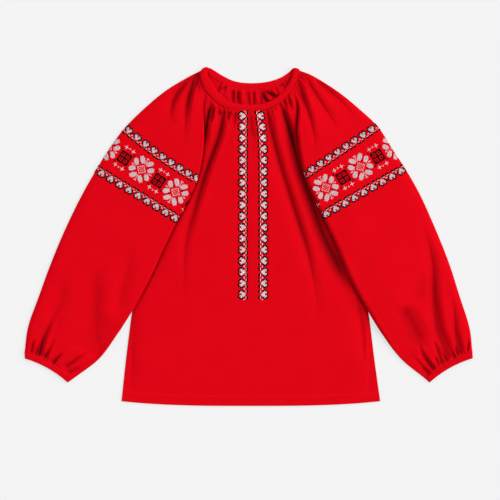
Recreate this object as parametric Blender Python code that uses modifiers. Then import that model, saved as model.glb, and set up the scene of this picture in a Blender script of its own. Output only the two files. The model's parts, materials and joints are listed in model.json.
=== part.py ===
"""A child's raglan blouse with long gathered sleeves, laid flat on a table.

The blouse is cut from knit cloth: a front panel, a back panel, two raglan sleeves, a binding round the
neck and an elastic casing round each wrist. The hems are turned up and stitched. It lies on its back: the
back panel is on the table, the front panel lies on it, and each sleeve is a flattened tube whose inner fold
lies over the front panel's side.

Frame: +Z up, the table is z = 0, +Y runs from the hem to the neck and -X is the sleeve on the left as the
blouse is seen from above. The origin is on the table under the middle of the blouse. Lengths in the tables
and constants are millimetres; MM turns them into Blender's metres.
"""

import math

import bmesh
import bpy
import numpy as np

MM = 0.001

# The cloth, and how its layers lie on each other.
WALL = 1.0
GAP = 0.3
SEAM_GAP = 0.9
HEM_WALL = 1.7
HEM_DEPTH = 16.0
FRONT_REST = WALL + GAP
TURN_REST = FRONT_REST + WALL + GAP
PRESSED = 2 * WALL + GAP
UNDERARM_CLEARANCE = 1.6
LEAST_UNDER_LIP = 5.0

# Height of the loose cloth over the layer that it lies on.
FRONT_LOFT = 1.7
NECK_LOFT = 1.4
NECK_LOFT_REACH = 45.0
SLEEVE_LOFT = 2.4
SLEEVE_HEAD_LOFT = 0.45
SLEEVE_BELL = 0.6
SOFT_FLOOR = 0.35
STEP_SLOPE = 18.0
LEAST_STEP_SHARE = 0.19
STEP_START_SHARE = 0.03

# Where the loose cloth lies lower: along the sleeves, down the front and towards its hem.
OPEN_FROM, OPEN_TO = 8.5, 21.0
FLATTER_FROM, FLATTER_TO, FLATTER_SHARE = 120.0, 380.0, 0.35
HEM_LOFT_SHARE = 0.15
HEM_EASE_FROM, HEM_EASE_TO = 1.5 * HEM_DEPTH, 5 * HEM_DEPTH
FOLD_EASE = 0.07

# Gathers: how many, how high, and how far they run into the cloth.
FRONT_GATHERS = 26
FRONT_GATHER_HEIGHT = 0.9
FRONT_GATHER_REACH = 20.0
FLAT_FRONT_SHARE = 0.13
FLAT_FRONT_GATHER = 0.2
BACK_GATHERS = 20
BACK_GATHER_HEIGHT = 1.1
BACK_GATHER_REACH = 34.0
BACK_GATHER_EASE = 0.08
HEAD_GATHERS = 5
HEAD_GATHER_HEIGHT = 0.7
CUFF_GATHERS = 12
CUFF_GATHER_HEIGHT = 1.2
SLEEVE_GATHER_EASE = 0.12

# The neck binding: a folded strip, pressed flat with a fold at each shoulder.
BINDING_THICKNESS = 2.2
BINDING_LOW = BINDING_THICKNESS / 2
BINDING_HIGH = BINDING_LOW + BINDING_THICKNESS + GAP
BINDING_STEPS = 4
BINDING_FLAT, BINDING_SIDE = 0.8, 0.3

# The wrist casings: doubled cloth round elastic.
CASING_WALL = 2.0
CASING_PRESSED = 2 * CASING_WALL + GAP
CASING_RUCHE = 0.35
CASING_BOW = 4.5

# Grid sizes.
TOP_COLUMNS = 2 * CUFF_GATHERS
BOTTOM_SHARES = (0.2, 0.45, 0.7, 0.92)
CASING_BOTTOM_SHARES = (0.15, 0.3, 0.5, 0.7, 0.85)
FOLD_ANGLES = (-90, -45, 0, 45, 90)
RAGLAN_ROWS = (0.0, 0.35, 0.8, 1.3, 1.9, 2.5, 3.2, 3.9, 4.6, 5.4, 6.2, 7.0)
SLEEVE_ROWS = RAGLAN_ROWS + (7.6, 8.2, 8.8, 9.4, 10.0, 10.6, 11.1, 11.5, 11.8, 12.0)
UNDERARM = 7.0
FRONT_COLUMNS = 2 * FRONT_GATHERS
BACK_COLUMNS = 2 * BACK_GATHERS
HEM_ROWS = 2
CASING_SHARES = (0.0, 0.5, 1.0)

# Rows between which a sleeve changes, first where the change is nil and last where it is whole: it keeps the
# neck seam's curve, lies on the body, fills out below its head, is gathered, and stands clear of the back.
NECK_CURVE_ROWS = (2.2, 0.0)
ON_BODY_ROWS = (10.0, 9.4)
FULL_ROWS = (0.0, 2.5)
HEAD_GATHER_ROWS = (1.6, 0.0)
WRIST_GATHER_ROWS = (10.6, 11.9)
CLEARANCE_ROWS = (5.0, 6.6)
BACK_SPREAD_POWER = 2.4

# Sections round the neck binding, from the left shoulder fold along the front, over the right shoulder fold
# (row 11) and back along the back. The free edge is the neck opening, and the seam edge joins the cloth.
#    free x, free y, seam x, seam y
NECK_SECTIONS = (
    (-64.0, 270.0, -74.5, 267.0),
    (-64.5, 257.0, -77.0, 255.0),
    (-58.0, 245.5, -73.0, 242.5),
    (-49.5, 233.0, -62.5, 225.5),
    (-33.5, 218.0, -42.5, 208.5),
    (-15.0, 212.0, -19.0, 202.0),
    (4.0, 211.0, 4.0, 200.5),
    (25.0, 213.0, 28.0, 203.5),
    (44.0, 222.0, 52.0, 215.5),
    (59.0, 237.5, 70.5, 239.0),
    (68.5, 255.0, 79.0, 256.0),
    (70.5, 268.5, 81.0, 266.5),
    (64.0, 263.0, 70.0, 254.5),
    (50.5, 254.5, 54.5, 245.5),
    (29.5, 248.0, 31.0, 237.5),
    (4.0, 246.0, 4.0, 236.0),
    (-20.0, 248.5, -21.5, 238.0),
    (-39.0, 256.5, -45.0, 246.5),
    (-54.5, 266.0, -62.5, 257.5),
)
RIGHT_SHOULDER = 11

# Sections down each sleeve below the neck seam. The inner fold lies over the body, the outer fold is the
# sleeve's outline, seam is the raglan seam's share of the way from the inner fold to the outer one, and bow
# bends the section towards the neck.
#    inner x, inner y, outer x, outer y, seam, bow
LEFT_SECTIONS = (
    (-72.0, 206.5, -98.5, 254.5, 0.10, 0.0),
    (-70.5, 171.0, -133.5, 233.0, 0.10, 0.0),
    (-72.0, 136.0, -167.0, 205.0, 0.11, 0.0),
    (-80.0, 94.5, -199.0, 173.0, 0.13, 0.0),
    (-95.0, 59.0, -225.0, 137.5, 0.16, 0.0),
    (-113.5, 25.0, -245.5, 104.0, 0.20, 0.0),
    (-135.0, -19.0, -269.5, 61.0, 0.2528, 0.0),
    (-159.0, -70.5, -295.0, 8.0, 0.0, 0.0),
    (-186.5, -120.0, -317.5, -46.5, 0.0, 0.0),
    (-210.5, -157.0, -335.0, -94.5, 0.0, 0.0),
    (-239.0, -195.0, -352.0, -142.5, 0.0, 1.5),
    (-280.0, -226.5, -358.0, -184.5, 0.0, 4.0),
)
RIGHT_SECTIONS = (
    (79.0, 208.0, 103.0, 257.5, 0.10, 0.0),
    (77.5, 171.0, 141.5, 233.5, 0.10, 0.0),
    (81.0, 137.5, 175.0, 206.5, 0.11, 0.0),
    (89.0, 99.0, 207.0, 176.0, 0.13, 0.0),
    (103.0, 64.0, 231.0, 139.0, 0.16, 0.0),
    (121.0, 25.5, 252.0, 107.0, 0.20, 0.0),
    (141.5, -17.5, 276.0, 64.0, 0.238, 0.0),
    (164.0, -70.5, 301.5, 6.5, 0.0, 0.0),
    (192.0, -121.5, 321.0, -43.0, 0.0, 0.0),
    (214.5, -157.0, 337.5, -94.5, 0.0, 0.0),
    (244.0, -195.0, 353.0, -144.0, 0.0, 1.5),
    (283.0, -227.0, 358.0, -184.5, 0.0, 4.0),
)
# The lower edge of each wrist casing: inner x, inner y, outer x, outer y.
LEFT_CASING_EDGE = (-288.5, -232.5, -357.5, -194.0)
RIGHT_CASING_EDGE = (289.0, -232.5, 358.5, -193.5)

# Where each sleeve's seam with the binding starts, folds and ends, counted in NECK_SECTIONS.
#    front seam, shoulder fold, back seam
LEFT_NECK_SPAN = (2.15, 0.0, -2.0)
RIGHT_NECK_SPAN = (9.0, 11.0, 13.0)

# The body's side seams below the underarms, down to the hem: y, left x, right x.
SIDE_SECTIONS = (
    (-65.5, -178.5, 183.0),
    (-133.0, -188.0, 193.5),
    (-197.0, -196.0, 201.5),
    (-262.5, -203.0, 210.5),
)
HEM_DROP = 7.5
HEM_FLATNESS = 3.0
FRONT_SIDE_ROWS = (0.16, 0.34, 0.52, 0.70, 0.84, 0.932, 0.938, 1.0)
BACK_SIDE_ROWS = (0.3, 0.6, 0.932, 0.938, 1.0)
NECK_BEND_AT_UNDERARM = 0.5

# Troughs in the cloth. Each is a curve through a start and an end, drawn towards a bend point.
#    start x, start y, bend x, bend y, end x, end y, width, depth
FRONT_TROUGHS = (
    (-37.0, 200.0, -104.0, 30.0, -105.0, -125.0, 7.0, 2.6),
    (-58.0, 209.0, -67.0, 180.0, -70.0, 138.0, 5.0, 2.4),
    (47.0, 215.0, 76.0, 112.0, 146.0, -47.0, 9.0, 3.0),
    (31.0, 205.0, 84.0, 45.0, 112.0, -130.0, 8.0, 2.2),
    (62.0, 229.0, 68.0, 214.0, 71.0, 196.0, 4.0, 2.0),
    (190.0, -133.0, 194.0, -165.0, 194.0, -200.0, 7.0, 0.9),
    (-20.0, 197.0, -21.0, 184.0, -26.0, 160.0, 5.0, 0.9),
)
LEFT_TROUGHS = (
    (-90.0, 259.0, -92.0, 206.0, -101.0, 150.0, 6.0, 2.6),
    (-99.0, 247.0, -112.0, 225.0, -128.0, 186.0, 6.0, 2.0),
    (-241.0, 3.0, -244.0, -85.0, -246.0, -180.0, 12.0, 1.8),
    (-180.0, -10.0, -197.0, -70.0, -210.0, -130.0, 9.0, 1.2),
    (-290.0, -40.0, -295.0, -80.0, -306.0, -116.0, 10.0, 1.0),
    (-306.0, -116.0, -318.0, -142.0, -332.0, -186.0, 6.0, 2.0),
    (-341.0, -160.0, -344.0, -172.0, -346.0, -186.0, 4.0, 1.4),
    (-256.0, -182.0, -276.0, -196.0, -293.0, -210.0, 6.0, 1.8),
)
RIGHT_TROUGHS = (
    (77.0, 240.0, 84.0, 212.0, 93.0, 180.0, 6.0, 2.2),
    (88.0, 257.0, 120.0, 238.0, 162.0, 203.0, 7.0, 1.6),
    (97.0, 240.0, 98.0, 200.0, 98.0, 150.0, 6.0, 1.6),
    (248.0, -112.0, 274.0, -160.0, 296.0, -210.0, 9.0, 1.8),
    (296.0, -60.0, 306.0, -136.0, 327.0, -193.0, 7.0, 2.4),
    (326.0, -110.0, 334.0, -150.0, 342.0, -187.0, 6.0, 1.8),
    (257.0, -181.0, 272.0, -200.0, 290.0, -219.0, 5.0, 1.2),
)
TROUGH_SAMPLES = 16
TROUGH_RISE = 0.15
TROUGH_FADE_FROM, TROUGH_FADE_TO = 0.45, 1.05

# How finely the outlines are sampled where one is read at a height.
SIDE_SAMPLES = 60
FOLD_SAMPLES = 120
COVERING_ROWS = 9
SEAM_ROUNDS = 6

CLOTH_RED = (0.72, 0.004, 0.012, 1.0)
BINDING_RED = (0.78, 0.006, 0.016, 1.0)


def catmull_rom(rows, position):
    """Points on the smooth curve through rows, at positions counted in rows."""
    rows = np.asarray(rows, float)
    position = np.clip(np.asarray(position, float), 0, len(rows) - 1)
    index = np.minimum(position.astype(int), len(rows) - 2)
    t = (position - index)[..., None]
    padded = np.vstack([2 * rows[0] - rows[1], rows, 2 * rows[-1] - rows[-2]])
    before, start, end, after = (padded[index + k] for k in range(4))
    linear = end - before
    square = 2 * before - 5 * start + 4 * end - after
    cube = 3 * start - before - 3 * end + after
    return 0.5 * (2 * start + linear * t + square * t**2 + cube * t**3)


def smoothstep(low, high, value):
    """0 below low, 1 above high, and a smooth rise between them."""
    share = np.clip((np.asarray(value, float) - low) / (high - low), 0, 1)
    return share * share * (3 - 2 * share)


def within(share, ease):
    """1 across a width, easing to 0 over a share of it at both ends."""
    return smoothstep(0.0, ease, share) * smoothstep(1.0, 1.0 - ease, share)


def gather_wave(count, share):
    """The rise and fall of a number of gathers, from 1 to -1, at a share of a seam's length."""
    return np.cos(2 * math.pi * count * share)


def settled(height):
    """A height that eases onto zero where it would sink below the layer under it."""
    return 0.5 * (height + np.sqrt(height**2 + SOFT_FLOOR**2))


def lerp(first, last, share):
    """The point or value at a share of the way from first to last."""
    return first + (last - first) * share


def neck_section(position):
    """Free edge and seam edge of the binding, in plan, at positions counted round the neck."""
    count = len(NECK_SECTIONS)
    wrapped = NECK_SECTIONS[-1:] + NECK_SECTIONS + NECK_SECTIONS[:2]
    found = catmull_rom(wrapped, np.mod(position, count) + 1)
    return found[..., :2], found[..., 2:]


def neck_seam(position):
    """Where the cloth meets the binding, just clear of its seam edge."""
    free, seam = neck_section(position)
    outward = seam - free
    outward /= np.linalg.norm(outward, axis=-1, keepdims=True)
    return seam + outward * SEAM_GAP


def trough_depth(x, y, troughs):
    """How far the troughs lower the cloth at the points x, y."""
    total = np.zeros(np.broadcast(x, y).shape)
    t = np.linspace(0, 1, TROUGH_SAMPLES)
    for x0, y0, x1, y1, x2, y2, width, depth in troughs:
        line_x = (1 - t) ** 2 * x0 + 2 * t * (1 - t) * x1 + t**2 * x2
        line_y = (1 - t) ** 2 * y0 + 2 * t * (1 - t) * y1 + t**2 * y2
        nearest = np.full(total.shape, np.inf)
        along = np.zeros(total.shape)
        for k in range(TROUGH_SAMPLES - 1):
            run_x, run_y = line_x[k + 1] - line_x[k], line_y[k + 1] - line_y[k]
            share = ((x - line_x[k]) * run_x + (y - line_y[k]) * run_y) / (run_x**2 + run_y**2)
            share = np.clip(share, 0, 1)
            away = np.hypot(x - line_x[k] - share * run_x, y - line_y[k] - share * run_y)
            closer = away < nearest
            nearest = np.where(closer, away, nearest)
            along = np.where(closer, (k + share) / (TROUGH_SAMPLES - 1), along)
        rise = smoothstep(-TROUGH_RISE, TROUGH_RISE, along)
        fade = smoothstep(TROUGH_FADE_TO, TROUGH_FADE_FROM, along)
        total += depth * rise * fade * np.exp(-((nearest / width) ** 2))
    return total


class Body:
    """The plan of the front and back panels: raglan seams above the underarms, side seams below."""

    def __init__(self, left, right):
        self.left = left
        self.right = right
        self.sides = {}
        for sleeve, column in ((left, 1), (right, 2)):
            underarm = sleeve.top_plan(sleeve.seam_share(UNDERARM), UNDERARM)
            rows = [(row[column], row[0]) for row in SIDE_SECTIONS]
            self.sides[sleeve] = np.array([tuple(underarm), *rows])

    def side(self, sleeve, share):
        """A point on the side seam, from the underarm at 0 to the hem at 1."""
        return catmull_rom(self.sides[sleeve], share * len(SIDE_SECTIONS))

    def side_x(self, sleeve, y):
        """The side seam's x at a height y below the underarm."""
        line = self.side(sleeve, np.linspace(0, 1, SIDE_SAMPLES))
        return np.interp(-y, -line[:, 1], line[:, 0])


class Sleeve:
    """One sleeve as sections that run round a flattened tube, from the raglan seam on the front panel over
    the inner fold, the top, the outer fold and the bottom to the seam again."""

    def __init__(self, sections, neck_span, troughs, casing_edge):
        front, fold, back = neck_span
        start = (*neck_seam(front), *neck_seam(fold), sections[0][4], 0.0)
        self.rows = np.array([start, *sections])
        self.neck_span = neck_span
        self.troughs = troughs
        self.casing_edge = casing_edge
        self.side = -1 if neck_seam(back)[0] < 0 else 1
        self.body = None

    def ends(self, v):
        """Inner fold, outer fold and bow at a row position."""
        found = catmull_rom(self.rows, v)
        return found[..., 0:2], found[..., 2:4], found[..., 5:6]

    def seam_share(self, v):
        """The raglan seam's share of the way from the inner fold to the outer one."""
        raglan = self.rows[: int(UNDERARM) + 1, 4:5]
        share = catmull_rom(raglan, np.minimum(v, UNDERARM))[..., 0]
        if self.body is None or v <= UNDERARM:
            return share
        inner, outer, _ = self.ends(v)
        for _ in range(SEAM_ROUNDS):
            y = lerp(inner[1], outer[1], share)
            share = (self.body.side_x(self, y) - inner[0]) / (outer[0] - inner[0])
        return max(float(share), 0.0)

    def neck_fade(self, v):
        """How much of the neck seam's curve a row keeps."""
        return float(smoothstep(*NECK_CURVE_ROWS, v))

    def towards_neck(self, inner, outer):
        """The direction in plan across a section, up the sleeve."""
        along = (outer - inner) / np.linalg.norm(outer - inner)
        return np.array([-along[1], along[0]]) * self.side

    def bent(self, point, share, v):
        """A point of a straight section, moved by the section's bow."""
        inner, outer, bow = self.ends(v)
        return point + self.towards_neck(inner, outer) * bow * 4 * share * (1 - share)

    def top_plan(self, share, v):
        """Plan point on the top layer, at a share of the way from the inner fold to the outer one."""
        inner, outer, _ = self.ends(v)
        front, fold, _ = self.neck_span
        curve = neck_seam(lerp(front, fold, share)) - lerp(self.rows[0, 0:2], self.rows[0, 2:4], share)
        return self.bent(lerp(inner, outer, share) + curve * self.neck_fade(v), share, v)

    def bottom_plan(self, share, v, clearance=0.0):
        """Plan point on the bottom layer, at a share of the way from the outer fold to the seam."""
        inner, outer, _ = self.ends(v)
        _, fold, back = self.neck_span
        seam_share = self.seam_share(v) + clearance / np.linalg.norm(outer - inner)
        if v > UNDERARM:
            seam_share = max(seam_share, LEAST_UNDER_LIP / np.linalg.norm(outer - inner))
        seam = lerp(inner, outer, seam_share)
        spread = max(0.0, 1 - v / UNDERARM) ** BACK_SPREAD_POWER
        start = lerp(self.rows[0, 0:2], self.rows[0, 2:4], self.rows[0, 4])
        seam = seam + (neck_seam(back) - start) * spread
        curve = neck_seam(lerp(fold, back, share)) - lerp(self.rows[0, 2:4], neck_seam(back), share)
        point = lerp(outer, seam, share) + curve * self.neck_fade(v)
        return self.bent(point, 1 - share * (1 - seam_share), v)

    def lift(self, v):
        """How high the sleeve's inner part lies: on the body above, and down on the table below it."""
        return TURN_REST * float(smoothstep(*ON_BODY_ROWS, v))

    def top_height(self, share, x, y, v):
        """Height of the sleeve's upper surface."""
        seam = self.seam_share(v)
        inner, outer, _ = self.ends(v)
        slope = max(LEAST_STEP_SHARE, STEP_SLOPE / np.linalg.norm(outer - inner))
        step = seam + STEP_START_SHARE
        floor = PRESSED + self.lift(v) * (1 - smoothstep(step, step + slope, share))
        bell = (4 * share * (1 - share)) ** SLEEVE_BELL
        loft = SLEEVE_LOFT * lerp(SLEEVE_HEAD_LOFT, 1.0, float(smoothstep(*FULL_ROWS, v))) * bell
        head = HEAD_GATHER_HEIGHT * gather_wave(HEAD_GATHERS, share) * smoothstep(*HEAD_GATHER_ROWS, v)
        wrist = CUFF_GATHER_HEIGHT * gather_wave(CUFF_GATHERS, share) * smoothstep(*WRIST_GATHER_ROWS, v)
        loft = loft + (head + wrist) * within(share, SLEEVE_GATHER_EASE)
        return floor + settled(loft - trough_depth(x, y, self.troughs)) * within(share, FOLD_EASE)

    def section(self, v):
        """Points round the sleeve's outer surface at one row."""
        inner, outer, _ = self.ends(v)
        length = np.linalg.norm(outer - inner)
        radius = PRESSED / 2
        turn = radius / length
        clearance = lerp(SEAM_GAP, UNDERARM_CLEARANCE, float(smoothstep(*CLEARANCE_ROWS, v)))
        seam = self.seam_share(v) + clearance / length
        if v > UNDERARM:
            seam = max(seam, LEAST_UNDER_LIP / length)
        low = self.lift(v)
        points = []
        for share in (seam, lerp(seam, turn, 0.5)):
            points.append((*self.top_plan(share, v), low))
        for angle in np.radians(FOLD_ANGLES):
            share = turn * (1 - math.cos(angle))
            points.append((*self.top_plan(share, v), low + radius * (1 + math.sin(angle))))
        for k in range(1, TOP_COLUMNS):
            share = lerp(turn, 1 - turn, k / TOP_COLUMNS)
            x, y = self.top_plan(share, v)
            points.append((x, y, float(self.top_height(share, x, y, v))))
        for angle in np.radians(FOLD_ANGLES[::-1]):
            share = 1 - turn * (1 - math.cos(angle))
            plan = self.top_plan(share, v) if angle >= 0 else self.bottom_plan(1 - share, v, clearance)
            points.append((*plan, radius * (1 + math.sin(angle))))
        for share in BOTTOM_SHARES:
            points.append((*self.bottom_plan(lerp(turn, 1, share), v, clearance), 0.0))
        if v >= UNDERARM:
            points.append(points[0])
        else:
            points.append((*self.bottom_plan(1, v, clearance), 0.0))
        return points

    def casing_section(self, share_down, inset=0.0):
        """Points round the wrist casing, from its seam at 0 to its free edge at 1, inset from its outside."""
        last = len(self.rows) - 1
        seam_inner, seam_outer, seam_bow = self.ends(last)
        edge = np.array(self.casing_edge)
        start = SEAM_GAP / np.linalg.norm(edge[:2] - seam_inner)
        down = lerp(start, 1.0, share_down)
        inner = lerp(seam_inner, edge[:2], down)
        outer = lerp(seam_outer, edge[2:], down)
        rise = self.towards_neck(inner, outer) * lerp(float(seam_bow[0]), CASING_BOW, down)
        length = np.linalg.norm(outer - inner)
        radius = CASING_PRESSED / 2
        turn = radius / length
        reach = (radius - inset) / length

        def plan(share):
            """Plan point at a share of the way from the inner end to the outer one."""
            return lerp(inner, outer, share) + rise * 4 * share * (1 - share)

        points = []
        for angle in np.radians(FOLD_ANGLES):
            height = radius + (radius - inset) * math.sin(angle)
            points.append((*plan(turn - reach * math.cos(angle)), height))
        for k in range(1, TOP_COLUMNS):
            share = k / TOP_COLUMNS
            ruche = CASING_RUCHE * gather_wave(CUFF_GATHERS, share)
            points.append((*plan(lerp(turn, 1 - turn, share)), CASING_PRESSED - inset + ruche))
        for angle in np.radians(FOLD_ANGLES[::-1]):
            height = radius + (radius - inset) * math.sin(angle)
            points.append((*plan(1 - turn + reach * math.cos(angle)), height))
        for share in CASING_BOTTOM_SHARES:
            points.append((*plan(lerp(1 - turn, turn, share)), inset))
        points.append(points[0])
        return points


def clear_scene():
    """Removes whatever the scene holds."""
    for obj in list(bpy.data.objects):
        bpy.data.objects.remove(obj, do_unlink=True)


def cloth_material(name, colour):
    """A matt knit cloth of one colour."""
    material = bpy.data.materials.new(name)
    material.use_nodes = True
    shader = material.node_tree.nodes["Principled BSDF"]
    shader.inputs["Base Color"].default_value = colour
    shader.inputs["Roughness"].default_value = 0.85
    shader.inputs["Metallic"].default_value = 0.0
    return material


def sheet_object(name, rows, material, collection, flip=False):
    """An object whose mesh is a grid bent through rows of points, with points that coincide made one."""
    points = np.array(rows, float) * MM
    row_count, column_count = points.shape[:2]
    bm = bmesh.new()
    bmesh.ops.create_grid(bm, x_segments=column_count - 1, y_segments=row_count - 1, size=1)
    for vert in bm.verts:
        column = round((vert.co.x + 1) / 2 * (column_count - 1))
        row = round((vert.co.y + 1) / 2 * (row_count - 1))
        vert.co = points[row, column]
    if flip:
        bmesh.ops.reverse_faces(bm, faces=bm.faces)
    bmesh.ops.remove_doubles(bm, verts=bm.verts, dist=0.00001)
    mesh = bpy.data.meshes.new(name)
    bm.to_mesh(mesh)
    bm.free()
    mesh.shade_smooth()
    mesh.materials.append(material)
    obj = bpy.data.objects.new(name, mesh)
    collection.objects.link(obj)
    return obj


def thicken(obj, wall, offset):
    """Gives a sheet its wall: offset 1 adds it on the outer side, and -1 on the inner side."""
    solidify = obj.modifiers.new("wall", "SOLIDIFY")
    solidify.thickness = wall * MM
    solidify.offset = offset
    solidify.use_rim = True
    return solidify


def thicken_hem(obj, solidify, hem_count):
    """Doubles the cloth along the turned hem, which is made of a panel's last points."""
    group = obj.vertex_groups.new(name="hem")
    body_count = len(obj.data.vertices) - hem_count
    group.add(list(range(body_count)), WALL / HEM_WALL, "REPLACE")
    group.add(list(range(body_count, body_count + hem_count)), 1.0, "REPLACE")
    solidify.thickness = HEM_WALL * MM
    solidify.vertex_group = group.name


def inner_fold_x(sleeve, y):
    """The x of a sleeve's inner fold at a height y, where the sleeve covers the front panel."""
    positions = np.linspace(0, COVERING_ROWS, FOLD_SAMPLES)
    line = np.array([sleeve.ends(v)[0] for v in positions])
    return np.interp(-np.asarray(y), -line[:, 1], line[:, 0])


def uncovered(body, x, y):
    """1 where the front panel lies open, easing to 0 where a sleeve covers it or at a side seam."""
    left = np.maximum(inner_fold_x(body.left, y), body.side_x(body.left, y))
    right = np.minimum(inner_fold_x(body.right, y), body.side_x(body.right, y))
    return smoothstep(OPEN_FROM, OPEN_TO, x - left) * smoothstep(OPEN_FROM, OPEN_TO, right - x)


def panel_rows(body, edge, neck_from, neck_to, columns, side_rows):
    """Plan points of a panel, row by row from the neck to the hem, and each row's share of the length."""
    u = np.linspace(0, 1, columns + 1)[:, None]
    neck = neck_seam(lerp(neck_from, neck_to, u[:, 0]))
    rows = []
    for v in RAGLAN_ROWS:
        left, right = edge(body.left, v), edge(body.right, v)
        keep = lerp(1.0, NECK_BEND_AT_UNDERARM, v / UNDERARM)
        rows.append(lerp(left, right, u) + (neck - lerp(neck[0], neck[-1], u)) * keep)
    for share in side_rows:
        left, right = body.side(body.left, share), body.side(body.right, share)
        keep = lerp(NECK_BEND_AT_UNDERARM, 0.0, share)
        drop = np.array([0.0, -HEM_DROP]) * share * (1 - np.abs(2 * u - 1) ** HEM_FLATNESS)
        flat = lerp(left, right, u) + drop
        rows.append(flat + (neck - lerp(neck[0], neck[-1], u)) * keep)
    return np.array(rows), u[:, 0]


def front_edge(sleeve, v):
    """The front panel's edge, on the raglan seam."""
    return sleeve.top_plan(sleeve.seam_share(v), v)


def back_edge(sleeve, v):
    """The back panel's edge, on the raglan seam."""
    return sleeve.bottom_plan(1.0, v)


def front_panel(body, material, collection):
    """The front panel: gathered at the neck, in long soft folds, with a turned hem."""
    front_left, _, _ = body.left.neck_span
    front_right, _, _ = body.right.neck_span
    left_corner = lerp(front_left, body.left.neck_span[1], body.left.rows[0, 4])
    right_corner = lerp(front_right, body.right.neck_span[1], body.right.rows[0, 4])
    plan, u = panel_rows(body, front_edge, left_corner, right_corner, FRONT_COLUMNS, FRONT_SIDE_ROWS)
    x, y = plan[..., 0], plan[..., 1]
    from_neck = np.linalg.norm(plan - plan[0], axis=-1)
    gathered = smoothstep(FLAT_FRONT_SHARE / 2, FLAT_FRONT_SHARE, np.abs(u - 0.5))
    gathered = lerp(FLAT_FRONT_GATHER, 1.0, gathered) * np.exp(-from_neck / FRONT_GATHER_REACH)
    wave = gather_wave(FRONT_GATHERS, u) * gathered
    open_cloth = uncovered(body, x, y)
    loft = FRONT_LOFT * lerp(1.0, FLATTER_SHARE, smoothstep(FLATTER_FROM, FLATTER_TO, from_neck))
    rest = NECK_LOFT * np.exp(-((from_neck / NECK_LOFT_REACH) ** 2))
    height = settled(loft - trough_depth(x, y, FRONT_TROUGHS) + FRONT_GATHER_HEIGHT * wave) + rest
    hem_ease = smoothstep(HEM_EASE_FROM, HEM_EASE_TO, y - y[-1])
    z = FRONT_REST + height * open_cloth * lerp(HEM_LOFT_SHARE, 1.0, hem_ease)
    obj = sheet_object("front_panel", np.dstack([plan, z]), material, collection, flip=True)
    thicken_hem(obj, thicken(obj, WALL, 1), HEM_ROWS * (FRONT_COLUMNS + 1))
    return obj


def back_panel(body, material, collection):
    """The back panel: flat on the table, with its gathers raised where they show inside the neck."""
    back_left, back_right = body.left.neck_span[2], body.right.neck_span[2]
    span = back_left + len(NECK_SECTIONS)
    plan, u = panel_rows(body, back_edge, span, back_right, BACK_COLUMNS, BACK_SIDE_ROWS)
    from_neck = np.linalg.norm(plan - plan[0], axis=-1)
    wave = 0.5 + 0.5 * gather_wave(BACK_GATHERS, u)
    reach = smoothstep(BACK_GATHER_REACH, 0.4 * BACK_GATHER_REACH, from_neck)
    z = BACK_GATHER_HEIGHT * wave * reach * within(u, BACK_GATHER_EASE)
    obj = sheet_object("back_panel", np.dstack([plan, z]), material, collection, flip=True)
    thicken(obj, WALL, 1)
    return obj


def sleeve_object(name, sleeve, material, collection):
    """A sleeve: a flattened tube, open along the raglan seam above the underarm."""
    rows = [sleeve.section(v) for v in SLEEVE_ROWS]
    obj = sheet_object(name, rows, material, collection, flip=sleeve.side > 0)
    thicken(obj, WALL, -1)
    return obj


def casing_object(name, sleeve, material, collection):
    """A wrist casing: a short flattened tube of doubled cloth, down its outside and up its inside."""
    rows = [sleeve.casing_section(share) for share in CASING_SHARES]
    rows += [sleeve.casing_section(share, CASING_WALL) for share in CASING_SHARES[::-1]]
    rows.append(rows[0])
    return sheet_object(name, rows, material, collection, flip=sleeve.side > 0)


def binding_section(position, angle):
    """One section of the neck binding: angle 90 is the front, -90 the back, and between them a fold."""
    free, seam = neck_section(position)
    centre = (free + seam) / 2
    inward = free - seam
    half_width = np.linalg.norm(inward) / 2
    inward /= 2 * half_width
    outward = np.array([-inward[1], inward[0]])
    if outward[1] < 0:
        outward = -outward
    lean = math.cos(math.radians(angle))
    rise = math.sin(math.radians(angle))
    radius = (BINDING_HIGH - BINDING_LOW) / 2
    middle = (BINDING_HIGH + BINDING_LOW) / 2
    origin = np.array([*(centre + outward * radius * lean), middle + radius * rise])
    side = np.array([*inward, 0.0]) * half_width
    up = np.array([*(outward * lean), rise]) * BINDING_THICKNESS / 2
    upper = ((1, BINDING_SIDE), (BINDING_FLAT, 1), (-BINDING_FLAT, 1), (-1, BINDING_SIDE))
    corners = upper + tuple((-across, -along) for across, along in upper)
    points = [origin + side * across + up * along for across, along in corners]
    return points + points[:1]


def neck_binding(material, collection):
    """The neck binding: a closed band, pressed flat with a fold at each shoulder."""
    fold = (90, 45, 0, -45, -90)
    front = [k / BINDING_STEPS for k in range(1, RIGHT_SHOULDER * BINDING_STEPS)]
    back_from, back_to = RIGHT_SHOULDER * BINDING_STEPS + 1, len(NECK_SECTIONS) * BINDING_STEPS
    back = [k / BINDING_STEPS for k in range(back_from, back_to)]
    rows = [binding_section(0, angle) for angle in fold[::-1]]
    rows += [binding_section(position, 90) for position in front]
    rows += [binding_section(RIGHT_SHOULDER, angle) for angle in fold]
    rows += [binding_section(position, -90) for position in back]
    rows.append(rows[0])
    return sheet_object("neck_binding", rows, material, collection)


def main():
    """Builds the blouse."""
    clear_scene()
    collection = bpy.data.collections.new("blouse")
    bpy.context.scene.collection.children.link(collection)
    cloth = cloth_material("red_knit", CLOTH_RED)
    band = cloth_material("red_binding", BINDING_RED)
    left = Sleeve(LEFT_SECTIONS, LEFT_NECK_SPAN, LEFT_TROUGHS, LEFT_CASING_EDGE)
    right = Sleeve(RIGHT_SECTIONS, RIGHT_NECK_SPAN, RIGHT_TROUGHS, RIGHT_CASING_EDGE)
    body = Body(left, right)
    left.body = right.body = body
    back_panel(body, cloth, collection)
    front_panel(body, cloth, collection)
    sleeve_object("sleeve_left", left, cloth, collection)
    sleeve_object("sleeve_right", right, cloth, collection)
    casing_object("cuff_left", left, band, collection)
    casing_object("cuff_right", right, band, collection)
    neck_binding(band, collection)


main()
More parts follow.
